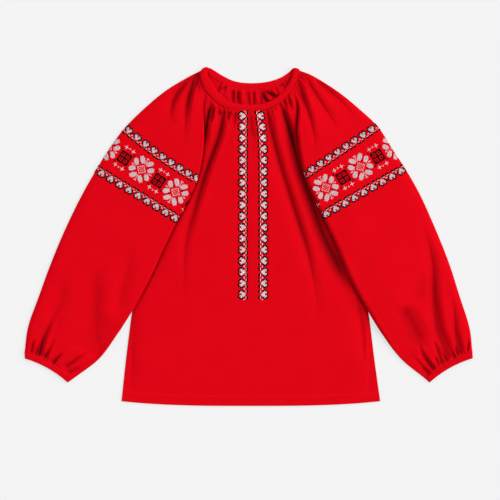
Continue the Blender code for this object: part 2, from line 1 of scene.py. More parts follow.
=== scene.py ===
"""A child's embroidered blouse in red knit, laid flat on its back with its sleeves down.

The blouse is a front panel, a back panel and two raglan sleeves, gathered into a folded binding at the neck
and into elastic casings at the wrists. Cross stitch in white, rose and black runs down the front in two
bands and round each upper arm in a wider one. Tables and size fields are millimetres in the row frame, seen
from above: +X is to the right, +Y runs from the hem to the neck, +Z is up from the table.
"""

import sys

import json
import logging
import math
from collections.abc import Callable, Iterable, Sequence
from dataclasses import dataclass, field
from enum import Enum

import bpy
import numpy as np
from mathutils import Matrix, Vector
from mathutils.bvhtree import BVHTree

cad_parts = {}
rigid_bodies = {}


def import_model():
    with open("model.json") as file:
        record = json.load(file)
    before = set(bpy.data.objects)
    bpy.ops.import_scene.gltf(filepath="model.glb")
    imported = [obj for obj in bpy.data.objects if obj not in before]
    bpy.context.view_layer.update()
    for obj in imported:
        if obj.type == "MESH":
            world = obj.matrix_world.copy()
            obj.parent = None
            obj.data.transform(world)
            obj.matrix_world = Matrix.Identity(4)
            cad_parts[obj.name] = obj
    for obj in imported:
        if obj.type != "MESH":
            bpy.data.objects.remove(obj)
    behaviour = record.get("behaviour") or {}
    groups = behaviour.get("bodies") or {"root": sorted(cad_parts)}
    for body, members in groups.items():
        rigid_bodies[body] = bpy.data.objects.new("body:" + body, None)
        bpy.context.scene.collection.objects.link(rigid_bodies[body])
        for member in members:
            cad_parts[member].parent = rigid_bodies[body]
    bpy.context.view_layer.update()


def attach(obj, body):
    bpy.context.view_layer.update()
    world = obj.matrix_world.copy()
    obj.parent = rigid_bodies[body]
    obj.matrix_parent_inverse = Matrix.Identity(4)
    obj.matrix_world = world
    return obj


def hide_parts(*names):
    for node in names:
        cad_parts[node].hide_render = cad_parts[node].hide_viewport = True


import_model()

MM = 0.001
WELD_REACH = 0.02 * MM
PAINTED_SHADE_ATTRIBUTE = "painted_shade_in_creases"  # the point attribute of painted shade, which darkens the knit in creases and between gathers, where the cloth closes on itself
BODY = "root"
LOG = logging.getLogger("blouse")

# How the layers lie, in heights over the table.
CLOTH = 0.7
TABLE_CLEARANCE = 0.7
BACK_TOP = 1.3
FRONT_TOP = 2.1
TURN_LOW = 2.5
BINDING_LOW = 1.8
BINDING_HIGH = 6.6

# How the cloth turns at the sleeves' outer folds, and how its edge lies in the binding.
FOLD_RADIUS = 1.35
SEAM_DROP = 1.3
NECK_TUCK = 2.0

# Stations down a sleeve, counted from the neck.
UNDERARM = 7.0
LAST_STATION = 12.0
BAND_STATIONS = (1.5, 9.0)


class Side(Enum):
    """Which side of the blouse a piece is on, as it is seen from above."""

    LEFT = -1
    RIGHT = 1


class Thread(Enum):
    """The colours of embroidery thread."""

    WHITE = "W"
    ROSE = "R"
    BLACK = "B"
    FINE_BLACK = "b"


# ---- Curves and blends -------------------------------------------


def catmull_rom(rows: np.ndarray, position: np.ndarray | float) -> np.ndarray:
    """Reads points from the smooth curve through the rows of a table.

    Args:
        rows: one row of numbers for each station.
        position: where to read, counted in rows.

    Returns:
        One row of numbers for each position.
    """
    rows = np.asarray(rows, float)
    position = np.clip(np.asarray(position, float), 0, len(rows) - 1)
    index = np.minimum(position.astype(int), len(rows) - 2)
    t = (position - index)[..., None]
    padded = np.vstack([2 * rows[0] - rows[1], rows, 2 * rows[-1] - rows[-2]])
    before, start, end, after = (padded[index + k] for k in range(4))
    linear = end - before
    square = 2 * before - 5 * start + 4 * end - after
    cube = 3 * start - before - 3 * end + after
    return 0.5 * (2 * start + linear * t + square * t**2 + cube * t**3)


def smoothstep(low: float, high: float, value: np.ndarray | float) -> np.ndarray:
    """Gives 0 below low, 1 above high, and a smooth rise between them."""
    share = np.clip((np.asarray(value, float) - low) / (high - low), 0, 1)
    return share * share * (3 - 2 * share)


def lerp(first: np.ndarray | float, last: np.ndarray | float, share: np.ndarray | float) -> np.ndarray:
    """Gives what lies at a share of the way from first to last."""
    return first + (last - first) * share


def inside(share: np.ndarray, first: float, last: float) -> np.ndarray:
    """Gives 1 between two shares of a width, easing to 0 at both its ends."""
    return smoothstep(0.0, first, share) * smoothstep(1.0, last, share)


def distance_from(plan: np.ndarray, row: int) -> np.ndarray:
    """Gives how far each point of a plan is from the point of its own column in one row."""
    return np.linalg.norm(plan - plan[row], axis=-1)


def settled(height: np.ndarray, softness: float = 0.5) -> np.ndarray:
    """Eases a height onto zero where it would sink below the layer under it."""
    return 0.5 * (height + np.sqrt(height**2 + softness**2))


def close_at_ends(count: int, ease: float) -> np.ndarray:
    """Gives numbers from 0 to 1 that lie closer together at both ends."""
    s = np.linspace(0, 1, count)
    return s - ease * np.sin(2 * math.pi * s) / (2 * math.pi)


def rolling(x: np.ndarray, y: np.ndarray, size: float, turn: float) -> np.ndarray:
    """Gives the low swell of cloth that has been smoothed by hand, between -1 and 1.

    Args:
        x: across the blouse.
        y: along the blouse.
        size: about how far apart the swells are.
        turn: an angle that gives each piece its own swell.

    Returns:
        A height for each point.
    """
    a, b = x / size, y / size
    first = np.sin(2.1 * a + 1.3 * b + turn) * np.cos(1.7 * b - 0.6 * a + 2.0 * turn)
    second = np.sin(3.7 * a - 2.2 * b + 3.1 * turn) * np.cos(1.1 * a + 2.9 * b - turn)
    return 0.65 * first + 0.35 * second


# A fold's section, in shares of its width, and how it starts.
STEEP_FALL = 1.15
GENTLE_REACH, GENTLE_POWER = 1.7, 1.3
CREST_AT = 2.4
FOLD_WIDTHS = (0.85, 1.15)  # of its width, where it starts and where it ends
SEAM_FADE = 0.25  # a fold that fades in over more of its length than this starts from nothing, in open cloth
# How the painted shade in a crease falls off towards its sides.
FOLD_SHADE_POWER = 1.5

# How unevenly a drawn thread leaves its pleats.
SWAYS = ((0.9, 2.3), (0.6, 5.1))  # how far they wander, in radians, and how often along the seam
RIDGE_POWER, RIDGE_MEAN = 0.8, 0.62
UNEVEN_WAVES = (3.4, 7.7)
PLEAT_LENGTHS, PLEAT_HEIGHTS = (0.5, 1.7), (0.7, 1.15)
PLEATS_RISE = (-2.0, 7.0)  # where they rise beside the seam
PLEAT_FALL_POWER = 1.4
FINE_MEAN = 0.6
# How deep between the pleats the painted shade is at its darkest, and how it falls off.
GATHER_SHADE_SHARE, GATHER_SHADE_POWER = 0.6, 1.3


@dataclass(frozen=True)
class Fold:
    """A roll of cloth that rises on the right of a crease, with a gentler slope down to it on the left."""

    route: tuple[tuple[float, float], ...]
    width: float
    depth: float
    crest: float = 0.12
    fade_in: float = 0.12
    fade_out: float = 0.5
    sharpness: float = 0.14
    lead: float = 0.4
    # How dark the crease's painted shade is, from 0 for none.
    closed: float = 0.45
    pieces: int = 24

    def shares(self, x: np.ndarray, y: np.ndarray) -> tuple[np.ndarray, np.ndarray]:
        """Gives the share of the crease's depth, and of its crest's height, at each point.

        Args:
            x: across the blouse.
            y: along the blouse.

        Returns:
            Two arrays of shares, as large as x.
        """
        line = catmull_rom(np.array(self.route), np.linspace(0, len(self.route) - 1, self.pieces + 1))
        x = x + self.lead * self.width
        nearest = np.full(x.shape, np.inf)
        along, side = np.zeros(x.shape), np.ones(x.shape)
        for k in range(self.pieces):
            run = line[k + 1] - line[k]
            share = ((x - line[k, 0]) * run[0] + (y - line[k, 1]) * run[1]) / (run @ run)
            share = np.clip(share, 0, 1)
            right, up = x - line[k, 0] - share * run[0], y - line[k, 1] - share * run[1]
            away = np.hypot(right, up)
            closer = away < nearest
            nearest = np.where(closer, away, nearest)
            along = np.where(closer, (k + share) / self.pieces, along)
            side = np.where(closer, right / np.maximum(away, 0.01), side)
        start = 0.0 if self.fade_in > SEAM_FADE else -self.fade_in
        taper = smoothstep(start, self.fade_in, along) * smoothstep(1.02, 1 - self.fade_out, along)
        width = self.width * lerp(*FOLD_WIDTHS, along)
        q = np.sqrt((nearest / width) ** 2 + self.sharpness**2) - self.sharpness
        steep, gentle = np.exp(-STEEP_FALL * q), np.exp(-((q / GENTLE_REACH) ** GENTLE_POWER))
        on_right = smoothstep(-0.5, 0.5, side)
        return taper * lerp(gentle, steep, on_right), taper * np.exp(-((q - CREST_AT) ** 2)) * on_right

    def height(self, x: np.ndarray, y: np.ndarray) -> np.ndarray:
        """Gives what the fold adds to the cloth's height at each point, which is negative in the crease."""
        crease, crest = self.shares(x, y)
        return self.depth * (self.crest * crest - crease)

    def shade(self, x: np.ndarray, y: np.ndarray) -> np.ndarray:
        """Gives the painted shade in the crease at each point, by how far the cloth closes on itself, from 0
        where it lies open.
        """
        return self.closed * self.shares(x, y)[0] ** FOLD_SHADE_POWER


@dataclass(frozen=True)
class Gathers:
    """Small pleats that run from a gathered seam into the cloth, uneven as a drawn thread leaves them."""

    count: float
    height: float
    reach: float
    turn: float
    fine: float = 2.7
    fine_share: float = 0.28
    fine_reach: float = 5.0
    # How dark the painted shade between the pleats is.
    closed: float = 0.6

    def profile(self, u: np.ndarray, away: np.ndarray) -> np.ndarray:
        """Gives the pleats' height.

        Args:
            u: share of the way along the seam.
            away: distance from the seam, square to it.

        Returns:
            Heights about zero, crests up.
        """
        turns = 2 * math.pi * u
        phase = math.pi * self.count * u
        for k, (swing, often) in enumerate(SWAYS, 1):
            phase = phase + swing * np.sin(often * turns + k * self.turn)
        ridge = np.abs(np.sin(phase)) ** RIDGE_POWER - RIDGE_MEAN
        slow, quick = UNEVEN_WAVES
        uneven = 0.5 + 0.5 * np.sin(slow * turns + 1.7 * self.turn) * np.cos(quick * turns)
        length = self.reach * lerp(*PLEAT_LENGTHS, uneven)
        tall = self.height * lerp(*PLEAT_HEIGHTS, 1 - uneven)
        past = np.maximum(away, 0.0)
        main = tall * ridge * smoothstep(*PLEATS_RISE, away) * np.exp(-((past / length) ** PLEAT_FALL_POWER))
        small = np.abs(np.sin(self.fine * phase + 1.3 * self.turn)) - FINE_MEAN
        return main + self.fine_share * self.height * small * np.exp(-past / self.fine_reach)

    def shade(self, u: np.ndarray, away: np.ndarray) -> np.ndarray:
        """Gives the painted shade between the pleats at each point, by how far the cloth closes there, from 0
        on their crests.
        """
        depth = -self.profile(u, away) / (GATHER_SHADE_SHARE * self.height)
        return self.closed * np.clip(depth, 0, 1) ** GATHER_SHADE_POWER


# ---- Meshes ------------------------------------------------------


@dataclass
class ClothGrid:
    """A surface of cloth as a grid of points, row by row, with its visible side outwards."""

    points: np.ndarray
    outward: float = 1.0
    # The painted shade at each point, from the creases and gathers.
    closed: np.ndarray | None = None

    def faces(self) -> np.ndarray:
        """Lists the grid's quads, four corner numbers each."""
        rows, columns = self.points.shape[:2]
        corner = np.arange((rows - 1) * columns).reshape(rows - 1, columns)[:, :-1].ravel()
        quads = np.stack([corner, corner + 1, corner + columns + 1, corner + columns], axis=1)
        return quads if self.outward > 0 else quads[:, ::-1]

    def cloth_uv(self) -> np.ndarray:
        """Gives each point's place on the flat cloth, in metres."""
        across = np.linalg.norm(np.diff(self.points, axis=1), axis=2).max(axis=0)
        along = np.linalg.norm(np.diff(self.points, axis=0), axis=2).mean(axis=1)
        u = np.concatenate([[0], np.cumsum(across)])
        v = np.concatenate([[0], np.cumsum(along)])
        rows, columns = self.points.shape[:2]
        return np.stack([np.tile(u, rows), np.repeat(v, columns)], axis=1) * MM

    def tree(self) -> BVHTree:
        """Makes a search tree of the surface, in millimetres."""
        return BVHTree.FromPolygons(self.points.reshape(-1, 3).tolist(), self.faces().tolist())

    def build(self, name: str, wall: float) -> bpy.types.Object:
        """Makes the grid an object and gives it the cloth's thickness on its inner side.

        Args:
            name: the object's name.
            wall: the cloth's thickness.

        Returns:
            The object, smooth shaded, with its Solidify modifier.
        """
        obj = mesh_object(name, self.points.reshape(-1, 3), self.faces(), self.cloth_uv())
        # Writes the painted shade of the creases as a point attribute for the knit's colour.
        if self.closed is not None:
            shade = obj.data.attributes.new(PAINTED_SHADE_ATTRIBUTE, "FLOAT", "POINT")
            shade.data.foreach_set("value", np.clip(self.closed, 0, 1).astype(np.float32).ravel())
        obj.modifiers.new("seam_weld", "WELD").merge_threshold = WELD_REACH
        shell = obj.modifiers.new("cloth", "SOLIDIFY")
        shell.thickness = wall * MM
        shell.offset = -1
        return obj


def mesh_object(name: str, points: np.ndarray, faces: np.ndarray,
                uv: np.ndarray | None = None) -> bpy.types.Object:
    """Makes a smooth-shaded mesh object.

    Args:
        name: the object's name.
        points: the vertices, in millimetres.
        faces: the corner numbers of each face, all with as many corners.
        uv: each vertex's place on the cloth, in metres.

    Returns:
        The new object, linked to the scene.
    """
    mesh = bpy.data.meshes.new(name)
    mesh.from_pydata((points * MM).tolist(), [], faces.tolist())
    if uv is not None:
        layer = mesh.uv_layers.new(name="cloth")
        layer.data.foreach_set("uv", uv[faces.ravel()].astype(np.float32).ravel())
    mesh.shade_smooth()
    obj = bpy.data.objects.new(name, mesh)
    bpy.context.scene.collection.objects.link(obj)
    return obj


@dataclass(frozen=True)
class Cut:
    """A piece's flat cut in metres: its width and length, and its area where it isn't a rectangle."""

    width: float
    length: float
    area: float | None = None

    def declare(self, obj: bpy.types.Object, held: str, rests_on: Sequence[str] = (),
                on_it: Iterable[bpy.types.Object] = ()) -> None:
        """Does nothing: the piece is not declared as cloth of this cut.

        Args:
            obj: the piece; not used.
            held: how it lies; not used.
            rests_on: the pieces that carry it; not used.
            on_it: the stitches that it carries; not used.
        """


def dress(obj: bpy.types.Object, material: bpy.types.Material) -> None:
    """Gives a piece its finish, in its only material slot, and its body.

    Args:
        obj: the piece.
        material: its finish.
    """
    obj.data.materials.clear()
    obj.data.materials.append(material)
    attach(obj, BODY)


# ---- Finishes ----------------------------------------------------


class NodeDesk:
    """Adds and joins shader nodes in one material."""

    def __init__(self, name: str) -> None:
        """Starts a material with its Principled shader."""
        self.material = bpy.data.materials.new(name)
        self.material.use_nodes = True
        self.tree = self.material.node_tree
        self.shader = self.tree.nodes["Principled BSDF"]

    def node(self, kind: str, **settings: object) -> bpy.types.Node:
        """Adds a node and sets its properties.

        Args:
            kind: the node's type.
            settings: its properties.

        Returns:
            The new node.
        """
        made = self.tree.nodes.new(kind)
        for key, value in settings.items():
            setattr(made, key, value)
        return made

    def feed(self, target: bpy.types.NodeSocket, value: object) -> None:
        """Joins a socket to another, or sets its value.

        Args:
            target: the socket to feed.
            value: another socket, or a value.
        """
        if isinstance(value, bpy.types.NodeSocket):
            self.tree.links.new(value, target)
        else:
            target.default_value = value

    def math(self, operation: str, first: object, second: object = 0.0) -> bpy.types.NodeSocket:
        """Adds a Math node and gives its result.

        Args:
            operation: what it does.
            first: its first input, a socket or a number.
            second: its second input.

        Returns:
            The result's socket.
        """
        made = self.node("ShaderNodeMath", operation=operation)
        self.feed(made.inputs[0], first)
        self.feed(made.inputs[1], second)
        return made.outputs[0]

    def noise(self, vector: bpy.types.NodeSocket, scale: float, detail: float = 2.0) -> bpy.types.NodeSocket:
        """Adds a noise texture and gives its value, from 0 to 1.

        Args:
            vector: where it is read.
            scale: how many cells there are to a metre.
            detail: how many octaves it has.

        Returns:
            The value's socket.
        """
        made = self.node("ShaderNodeTexNoise")
        self.feed(made.inputs["Vector"], vector)
        self.feed(made.inputs["Scale"], scale)
        self.feed(made.inputs["Detail"], detail)
        return made.outputs["Fac"]

    def mix(self, share: object, first: Sequence[float], second: Sequence[float]) -> bpy.types.NodeSocket:
        """Adds a colour mix and gives its result.

        Args:
            share: how much there is of the second colour.
            first: a colour or a socket.
            second: a colour or a socket.

        Returns:
            The result's socket.
        """
        made = self.node("ShaderNodeMix", data_type="RGBA")
        self.feed(made.inputs["Factor"], share)
        self.feed(made.inputs["A"], (*first, 1.0) if isinstance(first, tuple) else first)
        self.feed(made.inputs["B"], (*second, 1.0) if isinstance(second, tuple) else second)
        return made.outputs["Result"]

    def settle(self, values: dict[str, object]) -> None:
        """Feeds the shader's sockets, each by its name."""
        for name, value in values.items():
            self.feed(self.shader.inputs[name], value)

    def bump(self, height: bpy.types.NodeSocket, distance: float, strength: float) -> None:
        """Lets a height raise the surface.

        Args:
            height: the height's socket.
            distance: how high 1 is, in metres.
            strength: how much of it is used.
        """
        made = self.node("ShaderNodeBump")
        self.feed(made.inputs["Height"], height)
        self.feed(made.inputs["Distance"], distance)
        self.feed(made.inputs["Strength"], strength)
        self.settle({"Normal": made.outputs["Normal"]})


@dataclass(frozen=True)
class KnitFinish:
    """Red single-jersey knit: columns of small V-shaped loops, matt, with a short nap."""

    name: str
    colour: tuple[float, float, float] = (0.48, 0.0004, 0.0046)
    # Painted shade in the grooves between the knit's loops, also the dark end of its random patch tone.
    groove_shade_and_patch_tone: tuple[float, float, float] = (0.40, 0.0002, 0.0032)
    # Painted shade: the colour the knit takes deep in a crease.
    painted_crease_shade: tuple[float, float, float] = (0.05, 0.0002, 0.0012)
    wale: float = 1.0
    course: float = 0.8
    loop_height: float = 0.16
    roughness: float = 0.82
    nap: float = 0.03
    nap_tint: tuple[float, float, float, float] = (1.0, 0.05, 0.12, 1.0)
    patch_share: float = 0.65
    course_share: float = 0.3

    def material(self) -> bpy.types.Material:
        """Builds the knit's material."""
        desk = NodeDesk(self.name)
        place = desk.node("ShaderNodeUVMap", uv_map="cloth").outputs["UV"]
        split = desk.node("ShaderNodeSeparateXYZ")
        desk.feed(split.inputs[0], place)
        wale = desk.math("MULTIPLY", split.outputs["X"], 1 / (self.wale * MM))
        slant = desk.math("PINGPONG", wale, 0.5)
        course = desk.math("MULTIPLY", split.outputs["Y"], 1 / (self.course * MM))
        loop = desk.math("SINE", desk.math("MULTIPLY", desk.math("ADD", course, slant), 2 * math.pi))
        rib = desk.math("POWER", desk.math("MULTIPLY", slant, 2.0), 0.5)
        knit = desk.math("ADD", rib, desk.math("MULTIPLY", loop, self.course_share))
        patches = desk.noise(place, 28.0, 3.0)
        # Mixes painted shade in the knit's grooves with random patch tone.
        shade = desk.math("ADD", desk.math("MULTIPLY", knit, 1 - self.patch_share),
                          desk.math("MULTIPLY", patches, self.patch_share))
        # Paints shade into the creases and between the gathers, read from the mesh's attribute.
        painted_crease_shade = desk.node("ShaderNodeAttribute", attribute_name=PAINTED_SHADE_ATTRIBUTE).outputs["Fac"]
        open_colour = desk.mix(shade, self.groove_shade_and_patch_tone, self.colour)
        desk.settle({
            "Base Color": desk.mix(painted_crease_shade, open_colour, self.painted_crease_shade),
            "Roughness": self.roughness,
            "Specular IOR Level": 0.02,
            "Sheen Weight": self.nap,
            "Sheen Roughness": 0.45,
            "Sheen Tint": self.nap_tint,
        })
        desk.bump(knit, self.loop_height * MM, 0.35)
        return desk.material


@dataclass(frozen=True)
class ThreadFinish:
    """Embroidery floss: soft twisted strands with a low lustre."""

    name: str
    colour: tuple[float, float, float]
    shadow: tuple[float, float, float]
    roughness: float = 0.55
    strand: float = 0.25
    lustre: float = 0.2
    nap: float = 0.05

    def material(self) -> bpy.types.Material:
        """Builds the floss's material."""
        desk = NodeDesk(self.name)
        place = desk.node("ShaderNodeTexCoord").outputs["Object"]
        strands = desk.noise(place, 1 / (self.strand * MM), 1.0)
        desk.settle({
            "Base Color": desk.mix(strands, self.shadow, self.colour),
            "Roughness": self.roughness,
            "Specular IOR Level": self.lustre,
            "Sheen Weight": self.nap,
            "Sheen Roughness": 0.4,
        })
        desk.bump(strands, 0.08 * MM, 0.4)
        return desk.material


@dataclass(frozen=True)
class TableFinish:
    """The smooth pale light table that the blouse lies on."""

    name: str = "pale_table"
    colour: tuple[float, float, float] = (0.16, 0.16, 0.16)
    glow: float = 0.63

    def material(self) -> bpy.types.Material:
        """Builds the table's material."""
        desk = NodeDesk(self.name)
        place = desk.node("ShaderNodeTexCoord").outputs["Object"]
        grain = desk.noise(place, 3.0, 2.0)
        near = tuple(0.995 * c for c in self.colour)
        desk.settle({
            "Base Color": desk.mix(grain, near, self.colour),
            "Roughness": 0.9,
            "Specular IOR Level": 0.1,
            "Emission Color": (1.0, 1.0, 1.0, 1.0),
            "Emission Strength": self.glow,
        })
        return desk.material


# ---- The cut: plans of the pieces as they lie --------------------


@dataclass(frozen=True)
class NeckLine:
    """The neck binding in plan, counted round from the left shoulder fold along the front."""

    #    free edge x, y, seam edge x, y
    sections: tuple[tuple[float, ...], ...] = (
        (-64.0, 270.0, -74.5, 267.0),
        (-64.5, 257.0, -77.0, 255.0),
        (-58.0, 245.5, -73.0, 242.5),
        (-49.5, 233.0, -62.5, 225.5),
        (-33.5, 218.0, -42.5, 208.5),
        (-15.0, 212.0, -19.0, 202.0),
        (4.0, 211.0, 4.0, 200.5),
        (25.0, 213.0, 28.0, 203.5),
        (44.0, 222.0, 52.0, 215.5),
        (59.0, 237.5, 70.5, 239.0),
        (68.5, 255.0, 79.0, 256.0),
        (70.5, 268.5, 81.0, 266.5),
        (64.0, 263.0, 70.0, 254.5),
        (50.5, 254.5, 54.5, 245.5),
        (29.5, 248.0, 31.0, 237.5),
        (4.0, 246.0, 4.0, 236.0),
        (-20.0, 248.5, -21.5, 238.0),
        (-39.0, 256.5, -45.0, 246.5),
        (-54.5, 266.0, -62.5, 257.5),
    )
    right_shoulder: int = 11

    def edges(self, position: np.ndarray | float) -> tuple[np.ndarray, np.ndarray]:
        """Gives the binding's free edge and seam edge at positions counted round the neck.

        Args:
            position: places counted round the neck, in sections.

        Returns:
            Plan points of the free edge, and of the seam edge.
        """
        count = len(self.sections)
        wrapped = self.sections[-1:] + self.sections + self.sections[:2]
        found = catmull_rom(np.array(wrapped), np.mod(position, count) + 1)
        return found[..., :2], found[..., 2:]

    def seam(self, position: np.ndarray | float, tuck: float = NECK_TUCK) -> np.ndarray:
        """Gives where the cloth's edge lies, tucked into the binding.

        Args:
            position: places counted round the neck, in sections.
            tuck: how far the edge lies inside the binding.

        Returns:
            One x, y for each place.
        """
        free, seam = self.edges(position)
        inward = free - seam
        inward = inward / np.linalg.norm(inward, axis=-1, keepdims=True)
        return seam + inward * tuck


NECK = NeckLine()


@dataclass
class SleevePlan:
    """One sleeve in plan: sections from the neck to the wrist, with the raglan seam under its inner fold."""

    side: Side
    #    inner fold x, y, outer fold x, y, seam's share of the section, bow towards the neck
    sections: tuple[tuple[float, ...], ...]
    neck_span: tuple[float, float, float]
    casing_edge: tuple[float, float, float, float]
    neck_stations: float = 2.2  # how many stations keep something of the neck seam's curve
    back_taper: float = 2.4
    last_on_body: float = 9.0
    rows: np.ndarray = field(init=False)

    def __post_init__(self) -> None:
        """Adds the section at the neck seam."""
        front, fold, _ = self.neck_span
        start = (*NECK.seam(front), *NECK.seam(fold), self.sections[0][4], 0.0)
        self.rows = np.array([start, *self.sections])

    def ends(self, v: float) -> tuple[np.ndarray, np.ndarray, float]:
        """Gives the inner fold, the outer fold and the bow of the section at v."""
        found = catmull_rom(self.rows, v)
        return found[0:2], found[2:4], float(found[5])

    def length(self, v: float) -> float:
        """Gives the section's length at v."""
        inner, outer, _ = self.ends(v)
        return float(np.linalg.norm(outer - inner))

    def seam_share(self, v: float) -> float:
        """Gives the raglan seam's share of the way from the inner fold to the outer one."""
        raglan = self.rows[: int(UNDERARM) + 1, 4:5]
        return float(catmull_rom(raglan, min(v, UNDERARM))[0])

    def up_sleeve(self, inner: np.ndarray, outer: np.ndarray) -> np.ndarray:
        """Gives the direction across a section, towards the neck."""
        along = (outer - inner) / np.linalg.norm(outer - inner)
        return np.array([-along[1], along[0]]) * self.side.value

    def bent(self, points: np.ndarray, share: np.ndarray, v: float) -> np.ndarray:
        """Moves points of a straight section by its bow."""
        inner, outer, bow = self.ends(v)
        return points + self.up_sleeve(inner, outer) * (bow * 4 * share * (1 - share))[:, None]

    def neck_fade(self, v: float) -> float:
        """Gives how much of the neck seam's curve the section at v keeps."""
        return float(smoothstep(self.neck_stations, 0.0, v))

    def top(self, share: np.ndarray, v: float) -> np.ndarray:
        """Gives plan points of the top layer.

        Args:
            share: shares of the way from the inner fold to the outer one.
            v: the section, counted from the neck.

        Returns:
            One x, y for each share.
        """
        share = np.atleast_1d(share)
        inner, outer, _ = self.ends(v)
        front, fold, _ = self.neck_span
        s = share[:, None]
        curve = NECK.seam(lerp(front, fold, share)) - lerp(self.rows[0, 0:2], self.rows[0, 2:4], s)
        return self.bent(lerp(inner, outer, s) + curve * self.neck_fade(v), share, v)

    def bottom(self, share: np.ndarray, v: float, seam_share: float) -> np.ndarray:
        """Gives plan points of the bottom layer.

        Args:
            share: shares of the way from the outer fold to the raglan seam at the back.
            v: the section, counted from the neck.
            seam_share: where the bottom layer ends, as a share of the section from the inner fold.

        Returns:
            One x, y for each share.
        """
        share = np.atleast_1d(share)
        inner, outer, _ = self.ends(v)
        _, fold, back = self.neck_span
        spread = max(0.0, 1 - v / UNDERARM) ** self.back_taper
        start = lerp(self.rows[0, 0:2], self.rows[0, 2:4], self.rows[0, 4])
        seam = lerp(inner, outer, seam_share) + (NECK.seam(back) - start) * spread
        s = share[:, None]
        curve = NECK.seam(lerp(fold, back, share)) - lerp(self.rows[0, 2:4], NECK.seam(back), s)
        points = lerp(outer, seam, s) + curve * self.neck_fade(v)
        return self.bent(points, 1 - share * (1 - seam_share), v)

    def outline(self, v: np.ndarray) -> np.ndarray:
        """Gives the outer fold at each v."""
        return np.array([self.top(np.array([1.0]), float(at))[0] for at in v])

    def inner_fold_x(self, y: np.ndarray) -> np.ndarray:
        """Gives the inner fold's x at heights y, where the sleeve covers the front panel."""
        line = np.array([self.ends(v)[0] for v in np.linspace(0, self.last_on_body, 120)])
        return np.interp(-y, -line[:, 1], line[:, 0])


LEFT_PLAN = SleevePlan(
    side=Side.LEFT,
    sections=(
        (-72.0, 206.5, -98.5, 254.5, 0.10, 0.0),
        (-70.5, 171.0, -133.5, 233.0, 0.10, 0.0),
        (-72.0, 136.0, -167.0, 205.0, 0.11, 0.0),
        (-80.0, 94.5, -199.0, 173.0, 0.13, 0.0),
        (-95.0, 59.0, -225.0, 137.5, 0.16, 0.0),
        (-113.5, 25.0, -245.5, 104.0, 0.20, 0.0),
        (-135.0, -19.0, -269.5, 61.0, 0.2528, 0.0),
        (-159.0, -70.5, -295.0, 8.0, 0.0, 0.0),
        (-186.5, -120.0, -317.5, -46.5, 0.0, 0.0),
        (-210.5, -157.0, -335.0, -94.5, 0.0, 0.0),
        (-239.0, -195.0, -352.0, -142.5, 0.0, 1.5),
        (-280.0, -226.5, -358.0, -184.5, 0.0, 4.0),
    ),
    neck_span=(2.15, 0.0, -2.0),
    casing_edge=(-288.5, -232.5, -357.5, -194.0),
)

RIGHT_PLAN = SleevePlan(
    side=Side.RIGHT,
    sections=(
        (79.0, 208.0, 103.0, 257.5, 0.10, 0.0),
        (77.5, 171.0, 141.5, 233.5, 0.10, 0.0),
        (81.0, 137.5, 175.0, 206.5, 0.11, 0.0),
        (89.0, 99.0, 207.0, 176.0, 0.13, 0.0),
        (103.0, 64.0, 231.0, 139.0, 0.16, 0.0),
        (121.0, 25.5, 252.0, 107.0, 0.20, 0.0),
        (141.5, -17.5, 276.0, 64.0, 0.238, 0.0),
        (164.0, -70.5, 301.5, 6.5, 0.0, 0.0),
        (192.0, -121.5, 321.0, -43.0, 0.0, 0.0),
        (214.5, -157.0, 337.5, -94.5, 0.0, 0.0),
        (244.0, -195.0, 353.0, -144.0, 0.0, 1.5),
        (283.0, -227.0, 358.0, -184.5, 0.0, 4.0),
    ),
    neck_span=(9.0, 11.0, 13.0),
    casing_edge=(289.0, -232.5, 358.5, -193.5),
)


